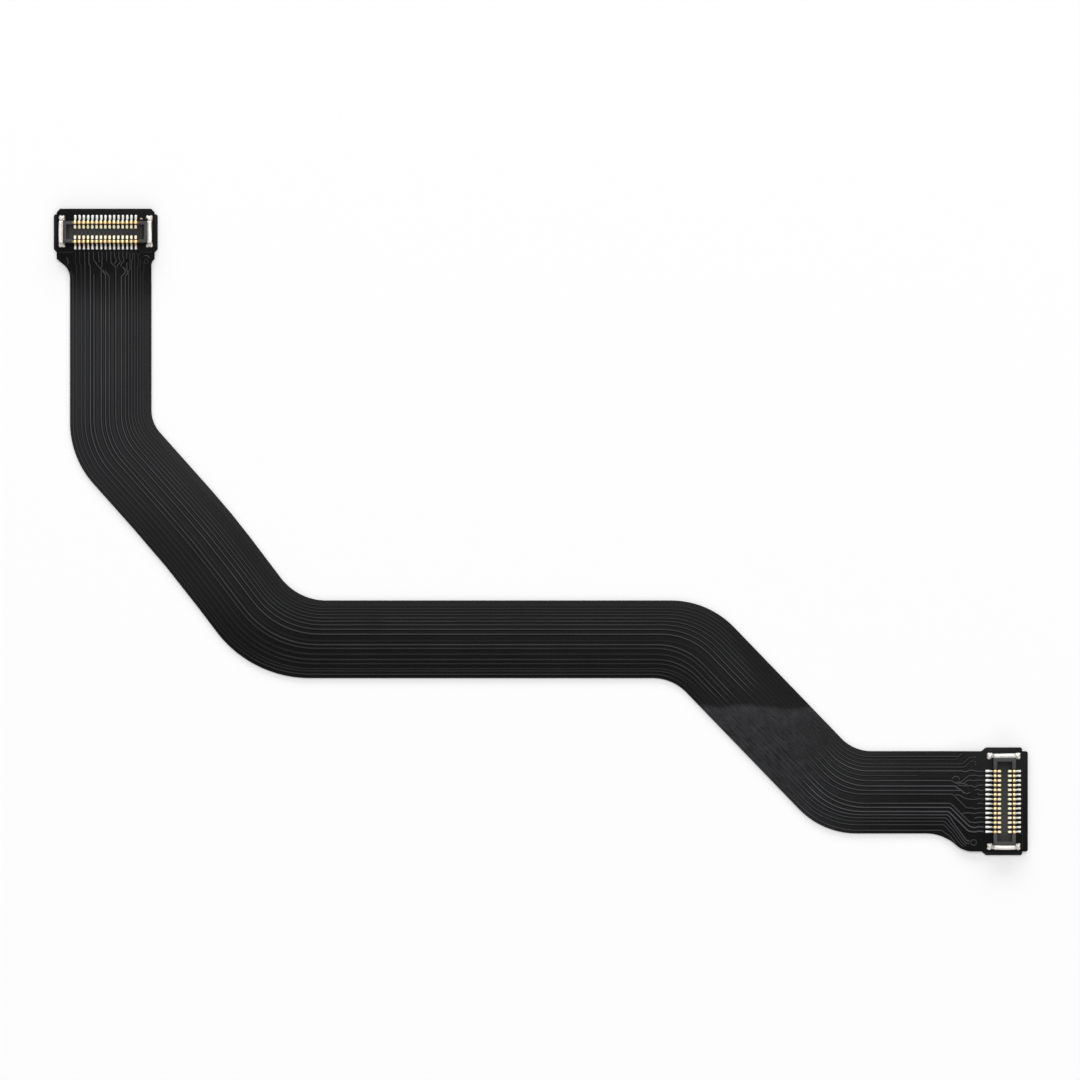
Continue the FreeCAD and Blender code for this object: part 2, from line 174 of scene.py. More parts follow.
# Right head: swan neck of the film
RIGHT_NECK_BACK = 3.47
RIGHT_NECK_SLOPE = math.tan(math.radians(40.4))
RIGHT_NECK_RADII = (2.06, 3.9)
RIGHT_CHAMFER = 0.12
RIGHT_ENTRIES = (
    ((-3.62, 4.1), (-3.88, 3.88)),
    ((-3.9, 3.78), (-4.1, 3.56)),
    ((-2.66, 3.78), (-3.05, 3.72), (-3.57, 3.205)),
    ((-2.58, 3.42), (-2.85, 3.46), (-3.38, 2.935)),
    ((-1.72, 2.6), (-2.28, 2.57), (-2.72, 2.68), (-3.05, 2.64), (-3.32, 2.52), (-3.8, 2.64)),
    ((-7.4, 2.195),),
    ((-3.1, 1.42), (-3.69, 1.55), (-4.23, 1.55)),
    ((-3.42, 0.62), (-3.61, 0.9), (-4.00, 1.14)),
    ((-2.88, 0.8), (-3.22, 0.62), (-3.53, 0.82)),
    ((-1.72, -0.6), (-2.1, -0.58), (-2.45, -0.65), (-2.8, -0.56), (-3.2, -0.6)),
    ((-1.72, -1.8), (-2.1, -1.77), (-2.45, -1.84), (-2.99, -1.77)),
    ((-1.72, -2.2), (-2.2, -2.18), (-2.55, -2.26), (-2.99, -2.14)),
    ((-1.72, -2.6), (-2.15, -2.55), (-2.55, -2.63), (-3.08, -2.55)),
    ((-2.92, -3.38), (-3.22, -3.38), (-4.2, -2.05), (-4.65, -1.35)),
    ((-2.95, -3.62), (-3.3, -3.6), (-4.3, -2.25), (-4.8, -1.6)),
    ((-3.2, -3.8), (-3.5, -3.68), (-4.4, -2.48), (-4.95, -1.88)),
    ((-3.45, -3.92), (-3.75, -3.7), (-4.5, -2.72), (-5.00, -2.18)),
    ((-4.1, -3.64), (-4.7, -2.96), (-5.2, -2.62)),
)

# Sizes of both heads in millimetres, how strongly their traces show and how strongly the
# painted gold reflection on the housing walls shows. The front row is the one away from the
# ribbon. A dark strip starts at wall_line, and end_shade is how far the painted shade at the
# ends of the trough comes in
LEFT = Head(
    "left", (0, 1, 0), (1, 0, 0), ("east", "west"),
    width=8.39, ribbon_offset=0.425, stiffener_back=1.72,
    contact_count=15, contact_pitch=0.371, plug_length=8.05, trough_length=6.67,
    jog_radius=0.22, trace_strength=1.25,
    strap_reach=(-1.31, 1.46), tail_reach={"front": 1.49, "rear": 1.49},
    wall_line=0.88, stain_and_painted_reflection=1.0, end_shade=0.3,
)
RIGHT = Head(
    "right", (1, 0, 0), (0, 1, 0), ("north", "south"),
    width=8.6, ribbon_offset=0.77, stiffener_back=1.95,
    contact_count=14, contact_pitch=0.4, plug_length=8.31, trough_length=6.86,
    jog_radius=0.4, trace_strength=1.5,
    strap_reach=(-1.49, 1.4), tail_reach={"front": 1.44, "rear": 1.64},
    wall_line=1.1, stain_and_painted_reflection=0.16, end_shade=1.1,
)
HEADS = (LEFT, RIGHT)


def rows():
    """Each row of contacts: its head, whether front or rear, its name and the way it faces."""
    for head in HEADS:
        for row, facing in (("front", 1), ("rear", -1)):
            yield head, row, head.name + "_" + row, facing


# Stretch of the second slope where the lanes hardly show, millimetres, and how faint they are
CALM_START, CALM_FROM = -14.9, 13.9
CALM_END = (24.8, -18.85)
CALM_SHARE = 0.85
# Cuts across the lanes there: the first place and the spacing in millimetres, how many
CUTS_START, CUTS_SPACING, CUTS = (15.5, -11.5, 0.0), 0.9, 18

# Tone of the film, and its changes: each starts and ends at a distance in millimetres and
# adds an amount
FILM_TONE = 0.38
FILM_TONES = {
    "first slope": (-9.5, -3.0, 0.62),
    "left strip": (-3.0, 7.0, 0.9),
    "left strip, high": (6.0, 15.0, 1.0),
    "left head": (17.5, 24.0, 1.0),
    "left head, dark": (17.5, 22.0, 0.24),
    "outer edge": (3.5, 6.2, 1.0),
    "outer edge, start": (11.0, 14.0, 1.0),
    "second slope": (9.0, 16.0, 0.42),
    # The lit part is a painted sheen on the second slope, and its rim a painted highlight
    "lit part": (-14.85, -14.4, 1.0),
    "lit part, rim": (-17.0, -14.8, 0.6),
    "lit part, end": (19.0, 30.0, 1.0),
    "right strip": (28.5, 33.0, 0.48),
}

# Short traces at the heads, each with its corners as (outward, inner) millimetres
SHORT_TRACES = {
    "left": (
        ((-1.64, -1.05), (-2.35, -1.05), (-3.2, -0.42)),
        ((-1.64, -0.62), (-2.6, -0.55)),
        ((-1.64, 0.08), (-2.5, 0.08)),
        ((-1.64, 0.77), (-2.1, 0.77), (-2.45, 0.95), (-2.75, 0.72)),
        ((-1.64, 1.13), (-2.2, 1.13), (-2.55, 1.3), (-2.8, 1.02), (-3.05, 0.98)),
        ((-1.64, 1.47), (-2.1, 1.47), (-2.4, 1.62), (-2.75, 1.32), (-2.95, 1.3)),
        ((-1.64, 1.82), (-2.3, 1.78)),
        ((-2.02, 3.3), (-1.98, 3.55), (-2.25, 3.8)),
        ((-2.15, -3.35), (-2.5, -3.2), (-2.8, -3.25)),
    ),
    "right": (
        ((-1.72, 2.2), (-2.1, 2.17), (-2.55, 2.25), (-3.06, 2.2), (-3.65, 1.68), (-4.2, 1.6)),
        ((-4.5, 1.92), (-4.22, 2.18), (-3.92, 2.08), (-3.8, 1.82)),
        ((-1.72, 1.8), (-2.2, 1.83), (-2.7, 1.76), (-3.14, 1.83), (-3.6, 1.44)),
        ((-1.72, 1.4), (-2.28, 1.38), (-2.52, 1.18), (-2.75, 1.35), (-3.3, 1.32), (-4.05, 1.4)),
        ((-1.72, 1.00), (-1.97, 0.88), (-2.28, 1.05), (-2.55, 0.94)),
        ((-1.72, 0.6), (-2.05, 0.56), (-2.34, 0.68)),
        ((-1.72, 0.2), (-2.2, 0.23), (-2.65, 0.15), (-3.3, 0.24), (-3.84, 0.52), (-4.2, 0.6)),
        ((-1.72, -0.2), (-2.00, -0.16), (-2.34, -0.19)),
        ((-1.72, -1.00), (-2.1, -0.97), (-2.6, -1.05), (-3.1, -0.98), (-3.62, -1.03)),
        ((-1.72, -1.4), (-2.1, -1.36), (-2.6, -1.44)),
    ),
}
TRACE_WIDTH = 0.22
# Where the edge of the stiffener shows through the film
STIFFENER_LINES = {
    "left": (((-1.72, -4.05), (-1.72, -2.75)), ((-1.72, 2.85), (-1.72, 4.05))),
    "right": (((1.55, -4.15), (1.55, 4.15)),),
}
EDGE_LINE_WIDTH, EDGE_LINE_STRENGTH = 0.2, 0.3
# Via bumps, as (outward, inner, radius) millimetres, and rings the same
VIA_BUMPS = {
    "right": ((-2.54, 3.78, 0.09), (-2.48, 3.38, 0.07), (-2.44, 3.12, 0.07)),
    "left": ((-2.3, 3.52, 0.07),),
}
VIA_RINGS = {"right": ((-2.62, -3.52, 0.24),), "left": ((-2.5, 3.47, 0.17),)}
LONE_PAD = (1.15, 3.06, 0.12)
LONE_PAD_HEIGHT, LONE_PAD_COLOUR = 0.03, (0.62, 0.44, 0.4)
# The via bumps are painted lighter than the film: a painted highlight
VIA_HEIGHT, VIA_SUNK, VIA_PAINTED_HIGHLIGHT = 0.04, 0.005, 9.0
RING_WIRE, RING_SUNK = 0.045, 0.01

# Plug details, millimetres: side views as (outward, up from the film, radius) corners, where
# "tip" is the end of the tail
CROWN_SIDE = (
    ("tip", 0.0, 0.0), ("tip", 0.06, 0.03), (1.02, 0.06, 0.05), (1.02, 0.52, 0.08),
    (0.93, 0.72, 0.07), (0.69, 0.72, 0.12), (0.69, 0.62, 0.0), (0.98, 0.62, 0.0),
    (0.98, 0.0, 0.0),
)
FOOT_SIDE = (
    (0.31, 0.19, 0.0), (0.66, 0.19, 0.0), (0.66, 0.64, 0.0), (0.605, 0.64, 0.03),
    (0.605, 0.49, 0.05), (0.31, 0.47, 0.08),
)
CONTACT_WIDTH = 0.2
# Width of a contact along its length: distance from the plug centre, share of the width
CONTACT_WAIST = (
    (0.3, 0.95), (0.36, 1.12), (0.54, 1.08), (0.61, 0.8), (0.7, 1.08), (0.9, 1.12),
    (1.00, 0.72), (1.2, 0.75), (1.4, 1.05), (1.7, 1.0),
)
# Cuts that give a contact its waist, and the marks its vertices carry for the finish: tin, the
# foot painted pale as a painted highlight, painted shade in the bend and painted shade along the
# sides
CONTACT_CUTS = (0.33, 0.36, 0.52, 0.58, 0.8, 0.97, 1.1, 1.18, 1.28, 1.38)
CONTACT_MARKS = ("tinned", "pale", "deep", "flank")
# Distance from the plug centre where the gold gives way to tin
TIN_FROM = {"front": 0.96, "rear": 1.05}
# The foot painted pale ends where the painted shade of the bend up the wall begins
FOOT_END, BEND_END = 0.6, 0.675
# Solder on a tail: where it begins, its width and height; then the share of the width at
# its inner end, and what it gains to its tip
TAIL_SOLDER_START, TAIL_SOLDER_WIDTH, TAIL_SOLDER_HEIGHT = 1.0, 0.26, 0.17
SOLDER_TAPER = {"left_front": (0.8, 0.12), "left_rear": (0.42, 0.58),
                "right_front": (0.55, 0.35), "right_rear": (0.5, 0.4)}
STRAP_SIDE = (
    (1.15, 0.0, 0.0), (1.15, 0.08, 0.03), (0.96, 0.08, 0.03), (0.96, 0.7, 0.13),
    (-0.96, 0.7, 0.13), (-0.96, 0.08, 0.03), (-1.15, 0.08, 0.03), (-1.15, 0.0, 0.0),
    (-0.88, 0.0, 0.0), (-0.88, 0.62, 0.06), (0.88, 0.62, 0.06), (0.88, 0.0, 0.0),
)
STRAP_WIDTH, STRAP_INSET = 0.345, 0.06
# Cuts along a strap, the crease on its top, and how uneven its top and its sides are
STRAP_CUT_SPACING = 0.15
STRAP_CREASES, CREASE_DEPTH = (0.02, 0.05, 0.08), 0.035
STRAP_DENT, STRAP_SWAY = 0.008, 0.014
LUMPS_INSET = 0.045
STIFFENER_BEVEL = 0.015
FLOOR_RIB, FLOOR_RIB_HEIGHT = (0.3, 0.09, 0.03), 0.205

# Lamps: name, place and size in metres, watts; then how bright the world is, by height
LAMPS = (
    ("north_softbox", (0.00, 1.9, 0.66), (2.6, 0.66), 31.0),
    ("south_fill", (0.00, -1.9, 0.8), (2.6, 0.66), 9.0),
    ("high_softbox", (0.14, 0.66, 1.87), (0.9, 0.9), 13.0),
)
WORLD_LEVELS = ((0.0, 0.3), (0.45, 0.42), (0.72, 0.62), (0.95, 0.78))
WORLD_STRENGTH = 0.84
# How much light the floor gives off itself, and how far below zero it lies, millimetres
FLOOR_GLOW, FLOOR_DROP = 0.208, 0.01
# Width that the camera sees at a level, and the place that it stands over, millimetres
VIEW_WIDTH, VIEW_LEVEL = 92.556, 0.18
VIEW_CENTRE = (-0.064, -0.686)
CAMERA_LENS, SENSOR = 250.0, 36.0


# Properties
def length_field(name, description, default):
    return FloatProperty(name=name, description=description, default=default, unit="LENGTH")


def colour_field(name, description, default):
    return FloatVectorProperty(name=name, description=description, default=default,
                               subtype="COLOR")


class CableSizes(bpy.types.PropertyGroup):
    """Thicknesses and heights that show"""

    film_thickness: length_field("Film thickness", "Thickness of the laminated film", 0.18 * MM)
    lane_height: length_field("Lane relief", "How far a lane lifts the cover film", 0.016 * MM)
    edge_bevel: length_field("Film edge", "Rounding along the cut edge of the film", 0.018 * MM)
    moulding_bevel: length_field("Moulding edge", "Rounding of the housings", 0.022 * MM)
    stage_size: length_field("Floor size", "Length of the sides of the floor", 4.0)


class CableColours(bpy.types.PropertyGroup):
    """Colours of the finishes, linear"""

    film: colour_field("Film", "Black cover film", (0.0088, 0.0089, 0.0095))
    stiffener: colour_field("Stiffener", "Plate under each head", (0.0075, 0.0076, 0.0081))
    housing: colour_field("Housing", "Moulded plastic of the plugs", (0.034, 0.033, 0.034))
    gold: colour_field("Gold", "Plating of the contacts", (0.98, 0.74, 0.36))
    tin: colour_field("Solder", "Tinned tails and solder", (0.97, 0.97, 0.95))
    strap: colour_field("Hold-down", "Tinned straps at the ends of the plugs", (0.79, 0.755, 0.71))
    floor: colour_field("Floor", "Pale table", (0.74, 0.74, 0.74))


# Shader trees
class Value:
    """An output of a node, so that shader maths is written as an expression."""

    def __init__(self, tree, socket):
        self.tree = tree
        self.socket = socket

    def maths(self, operation, *others, flip=False):
        terms = [self, *others]
        if flip:
            terms.reverse()
        return self.tree.node("ShaderNodeMath", {"operation": operation}, dict(enumerate(terms)))

    def __add__(self, other):
        return self.maths("ADD", other)

    def __sub__(self, other):
        return self.maths("SUBTRACT", other)

    def __rsub__(self, other):
        return self.maths("SUBTRACT", other, flip=True)

    def __mul__(self, other):
        return self.maths("MULTIPLY", other)

    __radd__ = __add__
    __rmul__ = __mul__


class Tree:
    """The node tree of a material or a world."""

    def __init__(self, owner):
        owner.use_nodes = True
        self.nodes = owner.node_tree.nodes
        self.links = owner.node_tree.links
        self.nodes.clear()

    def node(self, kind, settings=None, inputs=None, output=0):
        """Any node: its settings first, then the values or links of its sockets."""
        made = self.nodes.new(kind)
        for name, value in (settings or {}).items():
            if name == "stops":
                self.set_stops(made.color_ramp, value)
            else:
                setattr(made, name, value)
        for key, value in (inputs or {}).items():
            if isinstance(value, Value):
                self.links.new(value.socket, made.inputs[key])
            else:
                made.inputs[key].default_value = value
        return Value(self, made.outputs[output] if len(made.outputs) else None)

    @staticmethod
    def set_stops(ramp, stops):
        while len(ramp.elements) < len(stops):
            ramp.elements.new(1.0)
        for element, (place, grey) in zip(ramp.elements, stops):
            element.position = place
            element.color = (grey, grey, grey, 1)

    def ramp(self, factor, stops):
        """Grey level by stops of (place, level)."""
        return self.node("ShaderNodeValToRGB", {"stops": stops}, {0: factor})

    def step(self, value, low, high):
        """0 below low and 1 above high, with a smooth change between them."""
        return self.node("ShaderNodeMapRange", {"interpolation_type": "SMOOTHSTEP"},
                         {0: value, 1: low, 2: high, 3: 0.0, 4: 1.0})

    def span(self, value, low, high):
        """0 to 1 mapped onto low to high."""
        return value * (high - low) + low

    def mix(self, factor, first, second):
        """Blend of two colours."""
        first = first if isinstance(first, Value) else (*first, 1)
        second = second if isinstance(second, Value) else (*second, 1)
        return self.node("ShaderNodeMix", {"data_type": "RGBA"},
                         {0: factor, 6: first, 7: second}, output=2)

    def scaled(self, colour, factor):
        """A colour made lighter or darker by a number."""
        colour = colour if isinstance(colour, Value) else tuple(colour)
        return self.node("ShaderNodeVectorMath", {"operation": "SCALE"},
                         {0: colour, "Scale": factor})

    def place(self):
        """Object coordinates, and their X, Y and Z."""
        where = self.node("ShaderNodeTexCoord", output=3)
        split = self.node("ShaderNodeSeparateXYZ", None, {0: where})
        across, along, height = (Value(self, s) for s in split.socket.node.outputs)
        return where, across, along, height

    def attribute(self, name):
        """A number that the mesh carries at its vertices."""
        return self.node("ShaderNodeAttribute", {"attribute_name": name}, output=2)

    def along(self, where, direction, origin):
        """Distance of a place from an origin, along a direction."""
        reach = self.node("ShaderNodeVectorMath", {"operation": "DOT_PRODUCT"},
                          {0: where, 1: tuple(direction)}, output=1)
        return reach - direction.dot(origin)

    def stretched(self, where, scale, turn=0.0):
        """Coordinates turned by an angle, then stretched."""
        parts = tuple(1 / part for part in scale)
        return self.node("ShaderNodeMapping", {"vector_type": "TEXTURE"},
                         {0: where, 2: (0, 0, turn), 3: parts})

    def noise(self, where, scale, detail=3.0, roughness=0.5):
        return self.node("ShaderNodeTexNoise", None,
                         {0: where, "Scale": scale, "Detail": detail, "Roughness": roughness})

    def cells(self, where, scale):
        return self.node("ShaderNodeTexVoronoi", None, {0: where, "Scale": scale})

    def bump(self, height, distance, strength=1.0):
        return self.node("ShaderNodeBump", None,
                         {"Strength": strength, "Distance": distance, "Height": height})

    def finish(self, **inputs):
        """The surface itself; a name such as coat_weight is the socket Coat Weight."""
        named = {}
        for name, value in inputs.items():
            socket = name.replace("_", " ").title().replace("Ior", "IOR")
            named[socket] = value
        surface = self.node("ShaderNodeBsdfPrincipled", None, named)
        self.node("ShaderNodeOutputMaterial", None, {0: surface})


def new_tree(name):
    material = bpy.data.materials.new(name)
    return material, Tree(material)


def film_finish(name, colour, relief=False):
    """Satin black cover film with fine grain and faint streaks, lighter in stretches, with a
    painted sheen on the second slope and a painted highlight along its rim.
    """
    material, tree = new_tree(name)
    where, x, y, _ = tree.place()

    def change(axis, stretch):
        low, high, gain = FILM_TONES[stretch]
        return tree.step(axis, low * MM, high * MM) * gain

    broad = tree.noise(where, 160.0, 2.0)
    grain = tree.noise(where, 5200.0, 2.0, 0.6)
    left_fade = 1 - change(y, "left head")
    tone = change(y, "first slope") + change(y, "left strip")
    tone = tone + change(y, "left strip, high") * (0.45 - (x + 0.0367) * 120.0)
    tone = FILM_TONE + tone * left_fade - change(y, "left head, dark")
    # The lit part of the second slope is a painted sheen with mottling
    slope_edge = y + (tree.noise(where, 420.0, 3.0) - 0.5) * 0.0009 + x * 0.02
    second_slope = 1 - change(slope_edge, "lit part")
    glow = second_slope * (1 - change(x, "lit part, end"))
    across_slope = x * 0.719 + y * 0.695
    edge_dark = change(across_slope, "outer edge") * (1 - second_slope)
    edge_dark = edge_dark * change(x, "outer edge, start")
    tone = tone + change(x, "second slope") - edge_dark * 0.35
    # Painted highlight along the rim of the painted sheen
    rim = change(slope_edge, "lit part, rim")
    tone = tone + glow * (1.68 + rim) - change(x, "right strip")
    along = tree.noise(tree.stretched(where, (0.25, 1.0, 1.0), -0.803), 5200.0, 3.0, 0.6)
    blotch = tree.noise(where, 1300.0, 3.0, 0.6)
    tone = tone + broad * 0.34 + (grain - 0.5) * 1.05
    tone = tone + ((along - 0.5) * 4.4 + (blotch - 0.5) * 3.4) * glow
    speck = 1 - tree.step(tree.cells(where, 950.0), 0.045, 0.075)
    tone = tone + speck * tree.step(tree.noise(where, 300.0), 0.60, 0.66) * 0.8
    bumps = grain * 0.25 + tree.noise(where, 900.0, 3.0)
    rough = tree.span(broad, 0.36, 0.50) + glow * 0.08
    if relief:
        # Painted highlight on the crest of each lane and painted shade in the valleys beside it
        strength = tree.attribute("strength")
        away = tree.attribute("across").maths("ABSOLUTE")
        crest = 1 - tree.step(away, 0.08, 0.52)
        painted_valley_shade = tree.step(away, 0.30, 0.56) * (1 - tree.step(away, 0.92, 1.00))
        depth = strength.maths("MINIMUM", 1.2)
        patchy = tree.noise(where, 330.0, 2.0)
        painted_crest_highlight = crest * strength * tree.span(patchy, 1.9, 5.3)
        tone = tone + painted_crest_highlight - painted_valley_shade * tone * (depth + 0.2) * 0.95
        rough = rough - crest * 0.06
    tree.finish(base_color=tree.scaled(colour, tone), roughness=rough,
                specular_ior_level=0.075, normal=tree.bump(bumps, 0.000012, 0.35))
    return material


def stiffener_finish(colour):
    """Fine-ground black laminate with a faint weave."""
    material, tree = new_tree("stiffener_black")
    where, x, y, _ = tree.place()
    grain = tree.noise(where, 6000.0, 3.0, 0.6)
    weave = (x * 9000.0).maths("SINE") * (y * 9000.0).maths("SINE")
    tone = 0.80 + grain * 0.55 + weave * 0.05
    tree.finish(base_color=tree.scaled(colour, tone), roughness=tree.span(grain, 0.42, 0.60),
                specular_ior_level=0.13, normal=tree.bump(grain + weave * 0.3, 0.000008, 0.5))
    return material


def housing_finish(head, colour):
    """Glass-filled dark plastic, with a painted highlight on top of the walls, painted shade on
    the walls between contacts and at the trough ends, and a painted gold reflection along the
    walls.
    """
    material, tree = new_tree(head.name + "_plastic")
    where, _, _, z = tree.place()
    fibre = tree.noise(tree.stretched(where, (1, 0.35, 1), 0.6), 7000.0, 3.0, 0.65)
    mottle = tree.noise(where, 1500.0, 2.0)
    away = tree.along(where, head.outward, head.centre).maths("ABSOLUTE")
    aside = tree.along(where, head.inner, head.centre).maths("ABSOLUTE")
    half_row = head.contact_count * head.contact_pitch * MM / 2
    in_row = 1 - tree.step(aside, half_row - 0.00005, half_row + 0.00010)
    # Metres from the centre line: the wall, its dark outer strip and the line of painted gold
    # reflection on it
    wall = tree.step(away, 0.00058, 0.00066)
    top = head.plug_top
    # Tops of the walls painted lighter: a painted highlight
    painted_lit_tops = tree.step(z, top - 0.0002, top - 0.0001)
    strip = head.wall_line * MM
    outer_strip = tree.step(away, strip - 0.00003, strip + 0.00002)
    tone = 0.46 + fibre * 0.42 + mottle * 0.28 + painted_lit_tops * 0.72
    end = head.trough_length * MM / 2
    # Painted shade at the ends of the trough
    painted_end_shade = tree.step(aside, end - head.end_shade * MM, end - 0.0001)
    tone = tone * (1 - outer_strip * 0.7) * (1 - painted_end_shade * (1 - painted_lit_tops) * 0.75)
    # Walls darkened between the contacts: painted shade
    tint = tree.scaled(colour, tone * (1 - wall * in_row * 0.80))
    # Painted reflection of the gold contacts along the walls
    line = tree.step(away, 0.00070, 0.00076) * (1 - tree.step(away, 0.00086, 0.00092))
    stain_and_painted_reflection = line * in_row * tree.step(mottle, 0.20, 0.50)
    glow = tree.mix(stain_and_painted_reflection * head.stain_and_painted_reflection, tint, (0.40, 0.22, 0.07))
    tree.finish(base_color=glow, roughness=tree.span(fibre, 0.38, 0.58),
                specular_ior_level=0.25, normal=tree.bump(fibre, 0.00001, 0.45))
    return material


def metal_finish(name, colour, low, high, metallic, lumps=0.000015, scale=2600.0):
    """Soft bright metal with flow marks and dull patches; roughness runs from low to high."""
    material, tree = new_tree(name)
    where = tree.place()[0]
    flow = tree.noise(where, scale, 3.0, 0.55)
    patch = tree.noise(where, scale * 0.35, 2.0)
    tone = 0.86 + patch * 0.28
    tree.finish(base_color=tree.scaled(colour, tone), metallic=metallic,
                roughness=tree.span(flow, low, high), normal=tree.bump(flow, lumps, 0.6))
    return material


def contact_finish(gold, tin):
    """Gold plating, painted pale on the foot as a painted highlight, with painted shade in the
    bend and along the sides, tinned at the tail.
    """
    material, tree = new_tree("contact_plating")
    where = tree.place()[0]
    tinned, pale, deep, flank = (tree.attribute(mark) for mark in CONTACT_MARKS)
    stain_and_painted_reflection = tree.noise(where, 3200.0, 3.0, 0.6)
    # The foot painted pale: a painted highlight
    rich = tree.mix(pale, gold, (1.0, 0.93, 0.66))
    plated = tree.mix(tree.step(tinned + stain_and_painted_reflection * 0.2 - 0.1, 0.3, 0.7), rich, tin)
    # Painted shade in the bend and along the sides of each contact
    painted_shade = deep.maths("MAXIMUM", flank * (1 - tinned * 0.6) * 0.85)
    shaded_plating = tree.mix(painted_shade, plated, (0.22, 0.12, 0.035))
    tree.finish(base_color=tree.scaled(shaded_plating, 0.80 + stain_and_painted_reflection * 0.40),
                metallic=0.70 - tinned * 0.58 - pale * 0.66,
                roughness=tree.span(stain_and_painted_reflection, 0.20, 0.40), normal=tree.bump(stain_and_painted_reflection, 0.000008, 0.5))
    return material


# Shapes
def left_of(direction):
    return Vector((-direction.y, direction.x, 0))


def heading(degrees):
    angle = math.radians(degrees)
    return Vector((math.cos(angle), math.sin(angle), 0))


def crossing(start_a, along_a, start_b, along_b):
    """Where the line from start_a crosses the line from start_b."""
    cross = along_a.x * along_b.y - along_a.y * along_b.x
    gap = start_b - start_a
    return start_a + along_a * ((gap.x * along_b.y - gap.y * along_b.x) / cross)


def ribbon_corners(shares):
    """Bend corners with radii; a share of the width per run, 0 the outer edge, 1 the inner."""
    point = LEFT.point(0, LEFT.ribbon_offset)
    lines = []
    for (length, angle, width), share in zip(RUNS, shares):
        along = heading(angle)
        lines.append((point + left_of(along) * ((share - 0.5) * width * MM), along))
        point = point + along * (length * MM)
    corners = []
    for i, (outer, inner) in enumerate(zip(OUTER_BEND_RADII, INNER_BEND_RADII)):
        radius = (outer + (inner - outer) * (shares[i] + shares[i + 1]) / 2) * MM
        corners.append((crossing(*lines[i], *lines[i + 1]), radius))
    return corners


def follow(bm, geom, corners, arc_step=math.radians(4)):
    """Carries vertices, and the edges between them, along (point, radius) corners.

    Straight parts are extruded and rounded corners are spun. Returns what it ends with."""
    here = corners[0][0]
    for i in range(1, len(corners)):
        corner, radius = corners[i]
        into = (corner - here).normalized()
        if i + 1 == len(corners) or radius <= 0:
            geom = carried(bm, geom, corner - here)
            here = corner
            continue
        after = corners[i + 1][0]
        out = (after - corner).normalized()
        turn = math.atan2(into.x * out.y - into.y * out.x, into.dot(out))
        if abs(turn) < 1e-4:
            continue
        reach = radius * math.tan(abs(turn) / 2)
        room = 0.98 * min((corner - here).length, 0.5 * (after - corner).length)
        if reach > room:
            radius, reach = radius * room / reach, room
        start = corner - into * reach
        geom = carried(bm, geom, start - here)
        centre = start + left_of(into) * math.copysign(radius, turn)
        steps = max(2, math.ceil(abs(turn) / arc_step))
        made = bmesh.ops.spin(bm, geom=geom, cent=centre, axis=UP, dvec=(0, 0, 0), angle=turn,
                              steps=steps, use_merge=False, use_duplicate=False)
        geom = [e for e in made["geom_last"] if not isinstance(e, bmesh.types.BMFace)]
        here = corner + out * reach
    return geom


def verts_in(geom):
    return [e for e in geom if isinstance(e, bmesh.types.BMVert)]


def edges_in(geom):
    return [e for e in geom if isinstance(e, bmesh.types.BMEdge)]


def cut(bm, point, normal, reach=1e-6):
    """Adds the edges where a plane crosses a mesh."""
    bmesh.ops.bisect_plane(bm, geom=[*bm.verts, *bm.edges, *bm.faces], dist=reach,
                           plane_co=point, plane_no=normal)


def shift(bm, verts, way):
    """Moves vertices."""
    bmesh.ops.translate(bm, verts=verts, vec=way)


def stand_up(bm, verts):
    """Turns vertices a quarter round X."""
    bmesh.ops.rotate(bm, cent=(0, 0, 0), matrix=Matrix.Rotation(math.pi / 2, 3, "X"),
                     verts=verts)


def carried(bm, geom, move):
    """Extrudes lone vertices or a chain of edges and moves the new end."""
    if move.length < 1e-9:
        return geom
    edges = edges_in(geom)
    if edges:
        made = bmesh.ops.extrude_edge_only(bm, edges=edges)["geom"]
        verts = verts_in(made)
        ends = set(verts)
        geom = verts + [e for e in edges_in(made) if ends.issuperset(e.verts)]
    else:
        geom = verts = bmesh.ops.extrude_vert_indiv(bm, verts=geom)["verts"]
    shift(bm, verts, move)
    return geom


def outline_solid(bm, corners, depth, arc_step=math.radians(4)):
    """Solid over a closed outline of (point, radius) corners, from zero up to depth."""
    start = (corners[-1][0] + corners[0][0]) / 2
    ring = [(start, 0.0), *corners, (start, 0.0)]
    first = bm.verts.new(start)
    before = set(bm.verts)
    follow(bm, [first], ring, arc_step)
    verts = [v for v in bm.verts if v not in before] + [first]
    bmesh.ops.remove_doubles(bm, verts=verts, dist=1e-8)
    edges = [e for e in bm.edges if not e.link_faces]
    face = bmesh.ops.contextual_create(bm, geom=edges)["faces"]
    made = bmesh.ops.extrude_face_region(bm, geom=face, use_keep_orig=True)["geom"]
    shift(bm, verts_in(made), (0, 0, depth))
    bmesh.ops.recalc_face_normals(bm, faces=bm.faces)


def sharp_edges(bm, degrees):
    return [e for e in bm.edges
            if len(e.link_faces) == 2 and e.calc_face_angle(0.0) > math.radians(degrees)]


def soften(bm, edges, size, segments=2):
    """Rounds edges."""
    bmesh.ops.bevel(bm, geom=edges, offset=size, offset_type="OFFSET", segments=segments,
                    profile=0.5, affect="EDGES", clamp_overlap=True, material=-1)


def shade(bm, degrees):
    """Smooth shading, with the edges above an angle kept sharp."""
    for face in bm.faces:
        face.smooth = True
    for edge in bm.edges:
        edge.smooth = not (len(edge.link_faces) == 2
                           and edge.calc_face_angle(0.0) > math.radians(degrees))


